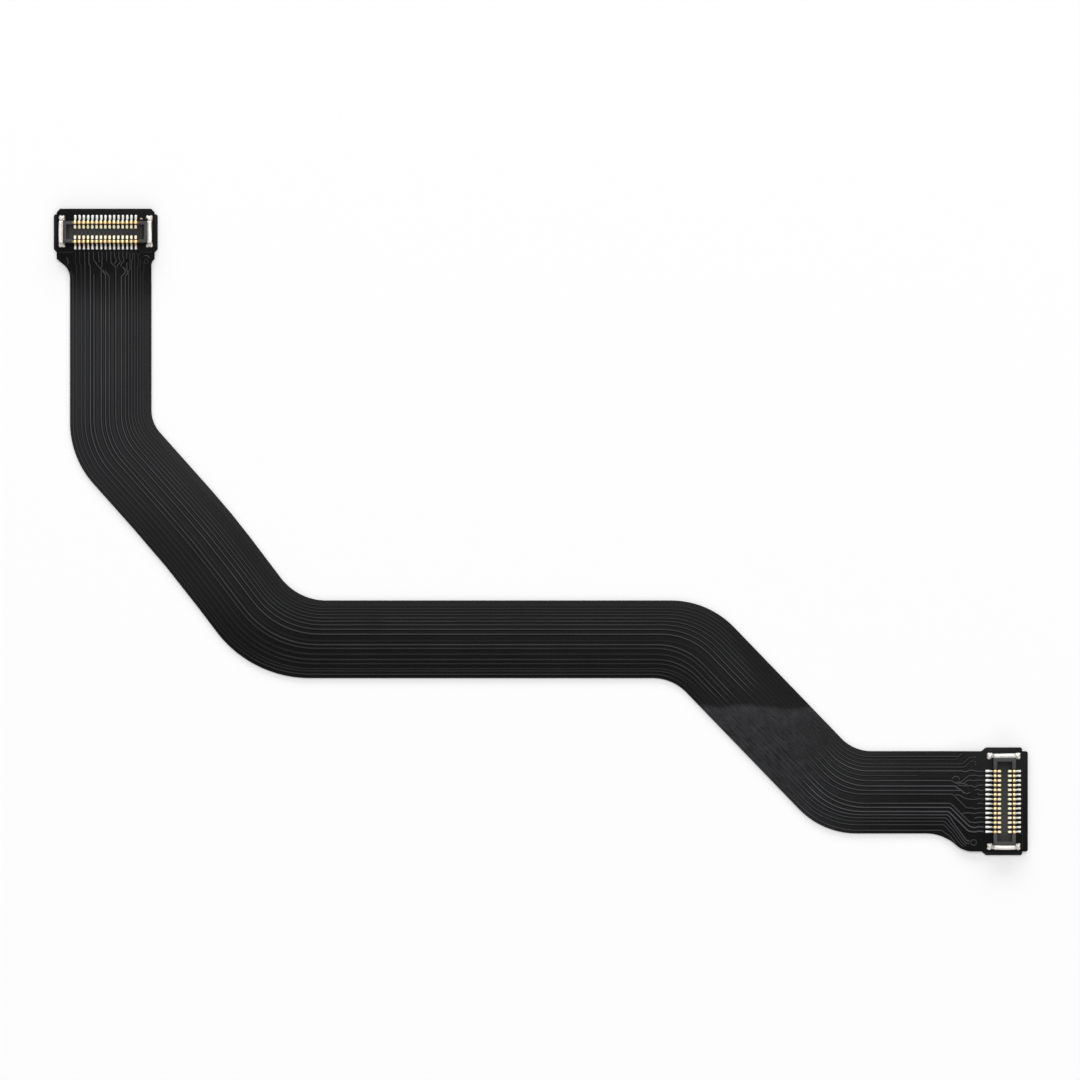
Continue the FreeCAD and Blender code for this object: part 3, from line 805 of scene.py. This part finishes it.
def add_piece(name, bm, material, replaced=(), degrees=38, head=None):
    """Puts a mesh in the scene, riding on the cable, shaded smooth up to an angle.

    With a head, it is first turned from that head's own millimetres into its place."""
    if head:
        bmesh.ops.transform(bm, matrix=head.matrix(), verts=bm.verts)
        bmesh.ops.recalc_face_normals(bm, faces=bm.faces)
    shade(bm, degrees)
    mesh = bpy.data.meshes.new(name)
    bm.to_mesh(mesh)
    bm.free()
    mesh.materials.append(material)
    piece = bpy.data.objects.new(name, mesh)
    bpy.context.scene.collection.objects.link(piece)
    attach(piece, "root")
    if replaced:
        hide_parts(*replaced)


def repeated(bm, places, height=0.0):
    """Copies all of a mesh to each place along Y, the first of which it takes itself."""
    whole = [*bm.verts, *bm.edges, *bm.faces]
    for place in places[1:]:
        made = bmesh.ops.duplicate(bm, geom=whole)["geom"]
        shift(bm, verts_in(made), (0, place, height))
    shift(bm, verts_in(whole), (0, places[0], height))


def film_corners():
    """Plan of the film: inner edge to the right, round the right head, outer edge back."""
    half = LEFT.width / 2
    inner_edge = LEFT.ribbon_offset + RUNS[0][2] / 2
    outer_edge = LEFT.ribbon_offset - RUNS[0][2] / 2
    inner_flare = LEFT_SHOULDER_BACK + (half - inner_edge) / LEFT_FLARE_SLOPE
    outer_flare = LEFT_SHOULDER_BACK + (half + outer_edge) / LEFT_FLARE_SLOPE
    side = FILM_FRONT - LEFT_CHAMFER
    start = LEFT.corners(
        (FILM_FRONT, half - LEFT_CHAMFER, FILM_TIP), (side, half, FILM_TIP),
        (-LEFT_SHOULDER_BACK, half, FILM_TIP), (-inner_flare, inner_edge, LEFT_FLARE_RADII[0]),
    )
    end = LEFT.corners(
        (-outer_flare, outer_edge, LEFT_FLARE_RADII[1]), (-LEFT_SHOULDER_BACK, -half, FILM_TIP),
        (side, -half, FILM_TIP), (FILM_FRONT, LEFT_CHAMFER - half, FILM_TIP),
    )
    half = RIGHT.width / 2
    edge = RIGHT.ribbon_offset - RUNS[-1][2] / 2
    swan_back = RIGHT_NECK_BACK + (half + edge) / RIGHT_NECK_SLOPE
    side, inset = FILM_FRONT - RIGHT_CHAMFER, half - RIGHT_CHAMFER
    right = RIGHT.corners(
        (side, half, 0), (FILM_FRONT, inset, 0), (FILM_FRONT, -inset, 0), (side, -half, 0),
        (-RIGHT_NECK_BACK, -half, RIGHT_NECK_RADII[0]), (-swan_back, edge, RIGHT_NECK_RADII[1]),
    )
    inner, outer = (ribbon_corners((share,) * len(RUNS)) for share in (1.0, 0.0))
    return [*start, *inner, *right, *outer[::-1], *end]


def lift_onto_heads(bm, thickness):
    """Cuts the mesh across both ramps and lifts it there and on the stiffened heads."""
    rungs = 12
    for head in HEADS:
        for i in range(rungs + 1):
            back = head.stiffener_back + RAMP_LENGTH * i / rungs
            cut(bm, head.point(-back, 0), head.outward, 1e-8)
    for vert in bm.verts:
        for head in HEADS:
            out = (vert.co - head.centre).dot(head.outward) / MM
            if abs((vert.co - head.centre).dot(head.inner)) > head.width * MM:
                continue
            share = smooth(out + head.stiffener_back + RAMP_LENGTH, 0.0, RAMP_LENGTH)
            vert.co.z += (head.film_top - thickness) * share


def entry_corners(head, entry, across):
    """Corners from a lane's end at a head to its place across the ribbon."""
    out, inner = entry[-1]
    gap = abs(inner - across)
    if gap > 0.03:
        entry = (*entry, (out - gap, across))
    return head.corners(*((*place, head.jog_radius) for place in entry))


def lane_corners(lane):
    """Corners of one lane with their radii, from the left head to the right head."""
    left, middle, right = LANES[lane][0]
    left_share = 1 - left / RUNS[LEFT_RUN][2]
    middle_share = 1 - middle / RUNS[MIDDLE_RUN][2]
    right_share = 1 - right / RUNS[RIGHT_RUN][2]
    shares = (left_share, left_share * 0.6 + middle_share * 0.4,
              left_share * 0.3 + middle_share * 0.7, middle_share,
              (middle_share + right_share) / 2, right_share)
    across = LEFT.ribbon_offset + RUNS[LEFT_RUN][2] / 2 - left
    corners = entry_corners(LEFT, LEFT_ENTRIES[lane], across)
    corners += ribbon_corners(shares)
    across = RIGHT.ribbon_offset + RUNS[RIGHT_RUN][2] / 2 - right
    return corners + entry_corners(RIGHT, RIGHT_ENTRIES[lane], across)[::-1]


def smooth(value, low, high):
    """0 below low and 1 above high, with a smooth change between them."""
    share = min(1.0, max(0.0, (value - low) / (high - low)))
    return share * share * (3 - 2 * share)


def relief_at(place, strengths, lane):
    """How strongly a lane shows at a place, from its three strengths."""
    x, y = place.x / MM, place.y / MM
    left, middle, right = strengths
    # From run to run, and stronger near both heads
    shown = middle + (left - middle) * smooth(y, -8.0, 9.0)
    shown += (right - shown) * smooth(x, 15.0, 27.0)
    shown *= 1 + 0.45 * smooth(y, 18.0, 21.5) + 0.25 * smooth(x, 30.0, 33.5)
    # The outermost lanes are faint on the first slope, the innermost only at its upper end
    if lane > 11 or lane < 3:
        faint = 0.85 * smooth(y, -12.5, -9.5) * (1 - smooth(y, 2.0, 7.0))
        shown *= 1 - faint * (1 - smooth(x, -26.0, -20.0) if lane < 3 else 1)
    # The calm stretch begins earlier for the lanes near both edges
    early = 1.2 * max(0, 5 - lane) + 0.7 * max(0, lane - 12)
    start = CALM_START + early + (x - CALM_FROM) * 0.40
    into = smooth(start + 0.5 - y, 0.0, 1.0)
    past = (x - CALM_END[0]) * 0.819 - (y - CALM_END[1]) * 0.573
    calm = into * (1 - smooth(past, -1.2, 0.8)) if x > 8.0 else 0.0
    return shown * (1 - CALM_SHARE * calm)


def add_lane(bm, corners, width, top, height):
    """Raised lane along a path, closed below, that fades into the film at both ends."""
    across_layer = bm.verts.layers.float["across"]
    along = (corners[1][0] - corners[0][0]).normalized()
    side = left_of(along)
    old = set(bm.verts)
    verts = []
    sunk, bottom = top - height * 0.3, top - height
    ends = [(share, sunk) for share, _ in LANE_PROFILE] + [(1.0, bottom), (-1.0, bottom)]
    for share, z in ends:
        vert = bm.verts.new(corners[0][0] + side * (share * width / 2) + UP * z)
        vert[across_layer] = share
        verts.append(vert)
    loop = [bm.edges.new((verts[i - 1], verts[i])) for i in range(len(verts))]
    bmesh.ops.contextual_create(bm, geom=loop)
    fade = 0.12 * MM
    geom = carried(bm, verts + loop, along * fade)
    for vert, (_, rise) in zip(ordered(geom, verts, along * fade), LANE_PROFILE):
        vert.co.z = top + height * rise
    path = [(corners[0][0] + along * fade, 0.0), *corners[1:]]
    back = (path[-2][0] - path[-1][0]).normalized()
    path[-1] = (path[-1][0] + back * fade, 0.0)
    geom = follow(bm, geom, path, math.radians(6))
    geom = carried(bm, geom, back * -fade)
    for vert in verts_in(geom):
        vert.co.z = min(vert.co.z, sunk)
    bmesh.ops.contextual_create(bm, geom=edges_in(geom))
    made = [v for v in bm.verts if v not in old]
    faces = {f for v in made for f in v.link_faces}
    bmesh.ops.recalc_face_normals(bm, faces=list(faces))
    return made


def cut_second_slope(bm):
    """Cuts the lanes across the second slope, so that they can sink into the film there."""
    along = heading(RUNS[SECOND_SLOPE_RUN][1])
    for i in range(CUTS):
        cut(bm, (Vector(CUTS_START) + along * (i * CUTS_SPACING)) * MM, along, 1e-8)


def show_relief(bm, verts, strengths, top, lane=MIDDLE_LANE):
    """Sets how strongly a lane shows at each of its vertices, and how high it stands."""
    strength_layer = bm.verts.layers.float["strength"]
    for vert in verts:
        shown = relief_at(vert.co, strengths, lane)
        vert[strength_layer] = shown
        if vert.co.z > top:
            vert.co.z = top + (vert.co.z - top) * min(1.2, 0.3 + 0.7 * shown)


def relief_mesh():
    """Empty mesh with the layers of the lanes."""
    bm = bmesh.new()
    bm.verts.layers.float.new("across")
    bm.verts.layers.float.new("strength")
    return bm


def poured(bm, whole):
    """Moves all of one mesh into another that has the same layers."""
    mesh = bpy.data.meshes.new("part")
    bm.to_mesh(mesh)
    bm.free()
    whole.from_mesh(mesh)
    bpy.data.meshes.remove(mesh)


def ordered(geom, before, move):
    """New vertices of an extrusion in the order of the vertices they came from."""
    fresh = verts_in(geom)
    return [min(fresh, key=lambda v: (v.co - move - old.co).length) for old in before]


def waisted(bm, table):
    """Widens and narrows a mesh along its X, by (distance, share) rows of a table."""
    for vert in bm.verts:
        away = abs(vert.co.x)
        for (low, first), (high, second) in zip(table, table[1:]):
            if low <= away <= high:
                share = (away - low) / (high - low)
                vert.co.y *= first + (second - first) * share
                break


def side_solid(bm, side, width, arc_step):
    """Bent strip from its side view of (x, z, radius) corners, standing across Y."""
    corners = [(Vector((x, z, 0)), radius) for x, z, radius in side]
    before = set(bm.verts)
    outline_solid(bm, corners, width, arc_step)
    made = [v for v in bm.verts if v not in before]
    stand_up(bm, made)
    shift(bm, made, (0, width / 2, 0))


def dome(bm, length, width, height, segments=14, rings=8):
    """Blob of solder: a half ball with its flat side at zero."""
    made = bmesh.ops.create_uvsphere(bm, u_segments=segments, v_segments=rings, radius=0.5)
    verts = made["verts"]
    bmesh.ops.scale(bm, vec=(length, width, height * 2), verts=verts)
    for vert in verts:
        vert.co.z = max(vert.co.z, 0.0)
    return verts


def refined_node(node, size):
    """A copy of a CAD solid, merged into clean faces, with its edges rounded."""
    bm = bmesh.new()
    bm.from_mesh(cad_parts[node].data)
    bmesh.ops.remove_doubles(bm, verts=bm.verts, dist=1e-7)
    bmesh.ops.dissolve_limit(bm, angle_limit=math.radians(1), verts=bm.verts, edges=bm.edges,
                             use_dissolve_boundaries=False)
    soften(bm, sharp_edges(bm, 30), size)
    return bm


# Operators
class CABLE_OT_film(bpy.types.Operator):
    """Laminated film, cut to its outline, lifted onto both heads"""

    bl_idname = "cable.film"
    bl_label = "Film"

    def execute(self, context):
        sizes, colours = context.scene.cable_sizes, context.scene.cable_colours
        bm = bmesh.new()
        outline_solid(bm, film_corners(), sizes.film_thickness, math.radians(2.5))
        rims = [e for e in sharp_edges(bm, 60) if abs(e.verts[0].co.z - e.verts[1].co.z) < 1e-9]
        soften(bm, rims, sizes.edge_bevel)
        lift_onto_heads(bm, sizes.film_thickness)
        add_piece("film", bm, film_finish("film_black", colours.film), ["flex_circuit"])
        return {"FINISHED"}


class CABLE_OT_lanes(bpy.types.Operator):
    """Copper lanes and short traces that lift the cover film"""

    bl_idname = "cable.lanes"
    bl_label = "Copper lanes"

    def execute(self, context):
        sizes, colours = context.scene.cable_sizes, context.scene.cable_colours
        top, height = sizes.film_thickness, sizes.lane_height
        whole = relief_mesh()
        for lane, (_, strengths, width) in enumerate(LANES):
            bm = relief_mesh()
            add_lane(bm, lane_corners(lane), width * MM, top, height)
            cut_second_slope(bm)
            show_relief(bm, bm.verts, strengths, top, lane)
            poured(bm, whole)
        for head in HEADS:
            kinds = (
                (SHORT_TRACES, head.jog_radius, TRACE_WIDTH, head.trace_strength),
                (STIFFENER_LINES, 0.0, EDGE_LINE_WIDTH, EDGE_LINE_STRENGTH),
            )
            for lines, radius, width, strength in kinds:
                for line in lines[head.name]:
                    corners = head.corners(*((*place, radius) for place in line))
                    made = add_lane(whole, corners, width * MM, top, height)
                    show_relief(whole, made, (strength,) * 3, top)
        lift_onto_heads(whole, top)
        finish = film_finish("film_relief", colours.film, True)
        add_piece("copper_lanes", whole, finish, degrees=80)
        return {"FINISHED"}


class CABLE_OT_vias(bpy.types.Operator):
    """Small bumps and rings over the through holes, and a lone solder pad"""

    bl_idname = "cable.vias"
    bl_label = "Vias"

    def execute(self, context):
        colours = context.scene.cable_colours
        # Bumps and rings painted lighter than the film: a painted highlight
        finish = film_finish("via_bumps", [part * VIA_PAINTED_HIGHLIGHT for part in colours.film])
        for head in HEADS:
            bm = bmesh.new()
            for out, inner, radius in VIA_BUMPS[head.name]:
                verts = dome(bm, radius * 2, radius * 2, VIA_HEIGHT)
                shift(bm, verts, (out, inner, -VIA_SUNK))
            for out, inner, radius in VIA_RINGS[head.name]:
                self.ring(bm, out, inner, radius)
            bmesh.ops.remove_doubles(bm, verts=bm.verts, dist=1e-5)
            add_piece(head.name + "_vias", bm, finish, degrees=80, head=head)
        bm = bmesh.new()
        out, inner, radius = LONE_PAD
        verts = dome(bm, radius, radius * 2, LONE_PAD_HEIGHT)
        shift(bm, verts, (out, inner, 0))
        finish = metal_finish("lone_pad_tin", LONE_PAD_COLOUR, 0.3, 0.5, 0.3)
        add_piece("lone_pad", bm, finish, degrees=80, head=LEFT)
        return {"FINISHED"}

    @staticmethod
    def ring(bm, out, inner, radius):
        """A raised ring: a small circle spun round the hole."""
        made = bmesh.ops.create_circle(bm, segments=8, radius=RING_WIRE)["verts"]
        stand_up(bm, made)
        shift(bm, made, (out + radius, inner, -RING_SUNK))
        edges = list({e for v in made for e in v.link_edges})
        bmesh.ops.spin(bm, geom=made + edges, cent=(out, inner, 0), axis=UP, dvec=(0, 0, 0),
                       angle=2 * math.pi, steps=20, use_merge=True, use_duplicate=False)


class CABLE_OT_stiffeners(bpy.types.Operator):
    """Plates under the heads, with their sawn edges eased"""

    bl_idname = "cable.stiffeners"
    bl_label = "Stiffeners"

    def execute(self, context):
        finish = stiffener_finish(context.scene.cable_colours.stiffener)
        for head in HEADS:
            node = head.name + "_stiffener"
            bm = refined_node(node, STIFFENER_BEVEL * MM)
            add_piece(head.name + "_stiffener_plate", bm, finish, [node])
        return {"FINISHED"}


class CABLE_OT_housings(bpy.types.Operator):
    """Plug housings with rounded edges and low ribs on the trough floor"""

    bl_idname = "cable.housings"
    bl_label = "Housings"

    def execute(self, context):
        sizes, colours = context.scene.cable_sizes, context.scene.cable_colours
        for head in HEADS:
            finish = housing_finish(head, colours.housing)
            node = head.name + "_housing"
            bm = refined_node(node, sizes.moulding_bevel)
            add_piece(head.name + "_moulding", bm, finish, [node])
            bm = bmesh.new()
            bmesh.ops.create_cube(bm, size=1.0)
            bmesh.ops.scale(bm, vec=FLOOR_RIB, verts=bm.verts)
            soften(bm, sharp_edges(bm, 30), 0.008)
            repeated(bm, head.contact_places(), FLOOR_RIB_HEIGHT)
            add_piece(head.name + "_floor_ribs", bm, finish, head=head)
        return {"FINISHED"}


class CABLE_OT_contacts(bpy.types.Operator):
    """Bent contacts: tinned tail, gold crown over the wall, gold foot in the trough"""

    bl_idname = "cable.contacts"
    bl_label = "Contacts"

    def execute(self, context):
        colours = context.scene.cable_colours
        finish = contact_finish(colours.gold, colours.tin)
        for head, row, name, facing in rows():
            bm = bmesh.new()
            layers = bm.verts.layers.float
            tinned, pale, deep, flank = [layers.new(mark) for mark in CONTACT_MARKS]
            tip = head.tail_reach[row] - 0.03
            side = [(tip if x == "tip" else x, z, r) for x, z, r in CROWN_SIDE]
            side_solid(bm, side, CONTACT_WIDTH, math.radians(15))
            side_solid(bm, FOOT_SIDE, CONTACT_WIDTH, math.radians(20))
            soften(bm, sharp_edges(bm, 60), 0.045)
            for vert in bm.verts:
                # Painted shade along the sides of each contact
                vert[flank] = float(abs(vert.co.y) > CONTACT_WIDTH * 0.42)
            for place in CONTACT_CUTS:
                cut(bm, (place, 0, 0), (1, 0, 0))
            waisted(bm, CONTACT_WAIST)
            for vert in bm.verts:
                x, _, z = vert.co
                vert[tinned] = float(x > TIN_FROM[row])
                # Foot marked for a painted highlight, the bend for painted shade
                vert[pale] = float(x < FOOT_END and z < 0.55)
                vert[deep] = float(FOOT_END < x < BEND_END and z > 0.30)
            bmesh.ops.scale(bm, vec=(facing, 1, 1), verts=bm.verts)
            repeated(bm, head.contact_places())
            add_piece(name + "_blades", bm, finish, [name + "_contacts"], 50, head)
        return {"FINISHED"}


class CABLE_OT_tail_solder(bpy.types.Operator):
    """Solder on the contact tails, swollen at the tip"""

    bl_idname = "cable.tail_solder"
    bl_label = "Tail solder"

    def execute(self, context):
        colours = context.scene.cable_colours
        finish = metal_finish("tail_solder", colours.tin, 0.30, 0.50, 0.12)
        chance = random.Random(7)
        for head, row, name, facing in rows():
            bm = bmesh.new()
            least, more = SOLDER_TAPER[name]
            length = head.tail_reach[row] - TAIL_SOLDER_START
            for place in head.contact_places():
                grow = chance.uniform(0.94, 1.06)
                verts = dome(bm, length, TAIL_SOLDER_WIDTH, TAIL_SOLDER_HEIGHT, 16, 10)
                for vert in verts:
                    share = vert.co.x * 2 / length
                    vert.co.x = math.copysign(abs(share) ** 0.55, share) * length / 2
                    lean = 0.5 + vert.co.x / length
                    vert.co.y *= (least + more * lean) * grow
                    vert.co.z *= 0.65 + 0.40 * lean
                place += chance.uniform(-0.01, 0.01)
                shift(bm, verts, (head.tail_reach[row] - length / 2, place, 0))
            bmesh.ops.scale(bm, vec=(facing, 1, 1), verts=bm.verts)
            add_piece(name + "_fillets", bm, finish, [name + "_solder"], 60, head)
        return {"FINISHED"}


class CABLE_OT_hold_downs(bpy.types.Operator):
    """Tinned straps over the ends of the plugs, with lumps of solder on their feet"""

    bl_idname = "cable.hold_downs"
    bl_label = "Hold-downs"

    def execute(self, context):
        colours = context.scene.cable_colours
        strap_finish = metal_finish("strap_tin", colours.strap, 0.30, 0.52, 0.55, 0.00003, 1900)
        lump_finish = metal_finish("strap_solder", colours.strap, 0.26, 0.50, 0.55, 0.00004, 2300)
        chance = random.Random(11)
        for head in HEADS:
            for side, end in zip((1, -1), head.ends):
                middle = side * ((head.plug_length - STRAP_WIDTH) / 2 - STRAP_INSET)
                name = head.name + "_" + end
                bm = bmesh.new()
                side_solid(bm, STRAP_SIDE, STRAP_WIDTH, math.radians(10))
                soften(bm, sharp_edges(bm, 60), 0.05, 3)
                self.crumple(bm, side, chance.uniform(0, WHOLE_TURN))
                shift(bm, bm.verts, (0, middle, 0))
                add_piece(name + "_strap", bm, strap_finish, [name + "_hold_down"],
                          50, head)
                bm = bmesh.new()
                for reach in head.strap_reach:
                    self.lump(bm, chance, reach, middle - side * LUMPS_INSET)
                add_piece(name + "_lumps", bm, lump_finish,
                          [name + "_hold_down_solder"], 70, head)
        return {"FINISHED"}

    @staticmethod
    def crumple(bm, side, phase):
        """Cuts a strap finely, lays a crease along its plug side and makes it uneven."""
        for i in range(-9, 10):
            cut(bm, (i * STRAP_CUT_SPACING, 0, 0), (1, 0, 0))
        for place in STRAP_CREASES:
            cut(bm, (0, -side * place, 0), (0, 1, 0))
        for vert in bm.verts:
            x, y, z = vert.co
            if z > 0.66:
                if side * y < -0.07 and abs(x) < 0.85:
                    vert.co.z -= CREASE_DEPTH
                wave = math.sin(9 * x + phase) * math.cos(17 * y + phase)
                vert.co.z -= STRAP_DENT * (1 + wave)
            vert.co.y += STRAP_SWAY * math.sin(2.6 * x + phase)

    @staticmethod
    def lump(bm, chance, reach, middle):
        """Uneven solder round a foot: one main blob and three smaller ones."""
        way = math.copysign(1, reach)
        # How far back from the tip and aside, length, width and height
        blobs = (
            (0.26, 0.0, 0.48, 0.54, 0.29),
            (0.16, chance.uniform(0.13, 0.18), 0.32, 0.28, 0.21),
            (0.18, -chance.uniform(0.13, 0.18), 0.36, 0.28, 0.24),
            (0.38, 0.12, 0.28, 0.34, 0.25),
        )
        for back, aside, length, width, height in blobs:
            verts = dome(bm, length, width, height, 20, 14)
            phase = chance.uniform(0, WHOLE_TURN)
            for vert in verts:
                around = math.atan2(vert.co.y, vert.co.x)
                swell = 1 + 0.07 * math.sin(3 * around + phase)
                dent = 1 + 0.12 * math.sin(21 * vert.co.x + phase) * math.cos(17 * vert.co.y)
                vert.co.x *= swell
                vert.co.y *= swell
                vert.co.z *= dent
            shift(bm, verts, (reach - way * back, middle + aside, 0))


class CABLE_OT_stage(bpy.types.Operator):
    """Pale floor, soft studio light and a camera straight above"""

    bl_idname = "cable.stage"
    bl_label = "Stage"

    def execute(self, context):
        scene = context.scene
        self.floor(scene)
        self.world(scene)
        for lamp in LAMPS:
            self.lamp(scene, *lamp)
        self.camera(scene)
        scene.view_settings.view_transform = "Standard"
        return {"FINISHED"}

    @staticmethod
    def floor(scene):
        colour = scene.cable_colours.floor
        bm = bmesh.new()
        bmesh.ops.create_grid(bm, x_segments=1, y_segments=1,
                              size=scene.cable_sizes.stage_size / 2)
        mesh = bpy.data.meshes.new("floor")
        bm.to_mesh(mesh)
        bm.free()
        floor = bpy.data.objects.new("floor", mesh)
        floor.location.z = -FLOOR_DROP * MM
        scene.collection.objects.link(floor)
        material, tree = new_tree("pale_floor")
        plain = tree.node("ShaderNodeBsdfDiffuse", None, {0: (*colour, 1)})
        glow = tree.node("ShaderNodeEmission", None, {0: (1, 1, 1, 1), 1: FLOOR_GLOW})
        seen = tree.node("ShaderNodeLightPath")
        rays = seen.socket.node.outputs
        mask = Value(tree, rays["Is Camera Ray"]) + Value(tree, rays["Is Glossy Ray"])
        mask = (mask + Value(tree, rays["Is Transmission Ray"])).maths("MINIMUM", 1.0)
        both = tree.node("ShaderNodeAddShader", None, {0: plain, 1: glow})
        surface = tree.node("ShaderNodeMixShader", None, {0: mask, 1: plain, 2: both})
        tree.node("ShaderNodeOutputMaterial", None, {0: surface})
        mesh.materials.append(material)

    @staticmethod
    def world(scene):
        """Soft light from all round, brighter towards straight above."""
        world = bpy.data.worlds.new("studio")
        scene.world = world
        tree = Tree(world)
        where = tree.node("ShaderNodeTexCoord", output=0)
        split = tree.node("ShaderNodeSeparateXYZ", None, {0: where})
        height = Value(tree, split.socket.node.outputs[2])
        level = tree.ramp(height, WORLD_LEVELS)
        light = tree.node("ShaderNodeBackground", None, {0: level, 1: WORLD_STRENGTH})
        tree.node("ShaderNodeOutputWorld", None, {0: light})

    @staticmethod
    def lamp(scene, name, place, size, watts):
        data = bpy.data.lights.new(name, "AREA")
        data.shape = "RECTANGLE"
        data.size, data.size_y = size
        data.energy = watts
        lamp = bpy.data.objects.new(name, data)
        lamp.location = place
        lamp.rotation_euler = (-Vector(place)).to_track_quat("-Z", "Y").to_euler()
        lamp.visible_camera = False
        scene.collection.objects.link(lamp)

    @staticmethod
    def camera(scene):
        data = bpy.data.cameras.new("camera")
        data.lens, data.sensor_width = CAMERA_LENS, SENSOR
        data.clip_start, data.clip_end = 0.01, 10.0
        camera = bpy.data.objects.new("camera", data)
        camera.location = (*(place * MM for place in VIEW_CENTRE),
                           VIEW_WIDTH * MM * CAMERA_LENS / SENSOR + VIEW_LEVEL * MM)
        scene.collection.objects.link(camera)
        scene.camera = camera


class CABLE_PT_pieces(bpy.types.Panel):
    """Lists the pieces of the cable"""

    bl_label = "Flex cable"
    bl_idname = "CABLE_PT_pieces"
    bl_space_type = "VIEW_3D"
    bl_region_type = "UI"
    bl_category = "Flex cable"

    def draw(self, context):
        for group in (context.scene.cable_sizes, context.scene.cable_colours):
            for name in group.bl_rna.properties.keys():
                if name not in {"rna_type", "name"}:
                    self.layout.prop(group, name)
        for operator in PIECES:
            self.layout.operator(operator.bl_idname)


PIECES = (
    CABLE_OT_stage, CABLE_OT_film, CABLE_OT_lanes, CABLE_OT_vias, CABLE_OT_stiffeners,
    CABLE_OT_housings, CABLE_OT_contacts, CABLE_OT_tail_solder, CABLE_OT_hold_downs,
)
CLASSES = (CableSizes, CableColours, *PIECES, CABLE_PT_pieces)


def register():
    for each in CLASSES:
        bpy.utils.register_class(each)
    bpy.types.Scene.cable_sizes = PointerProperty(type=CableSizes)
    bpy.types.Scene.cable_colours = PointerProperty(type=CableColours)


def unregister():
    del bpy.types.Scene.cable_colours
    del bpy.types.Scene.cable_sizes
    for each in reversed(CLASSES):
        bpy.utils.unregister_class(each)


def main():
    register()
    bpy.ops.cable.stage()
    bpy.ops.cable.film()
    bpy.ops.cable.lanes()
    bpy.ops.cable.vias()
    bpy.ops.cable.stiffeners()
    bpy.ops.cable.housings()
    bpy.ops.cable.contacts()
    bpy.ops.cable.tail_solder()
    bpy.ops.cable.hold_downs()


if __name__ == "__main__":
    main()
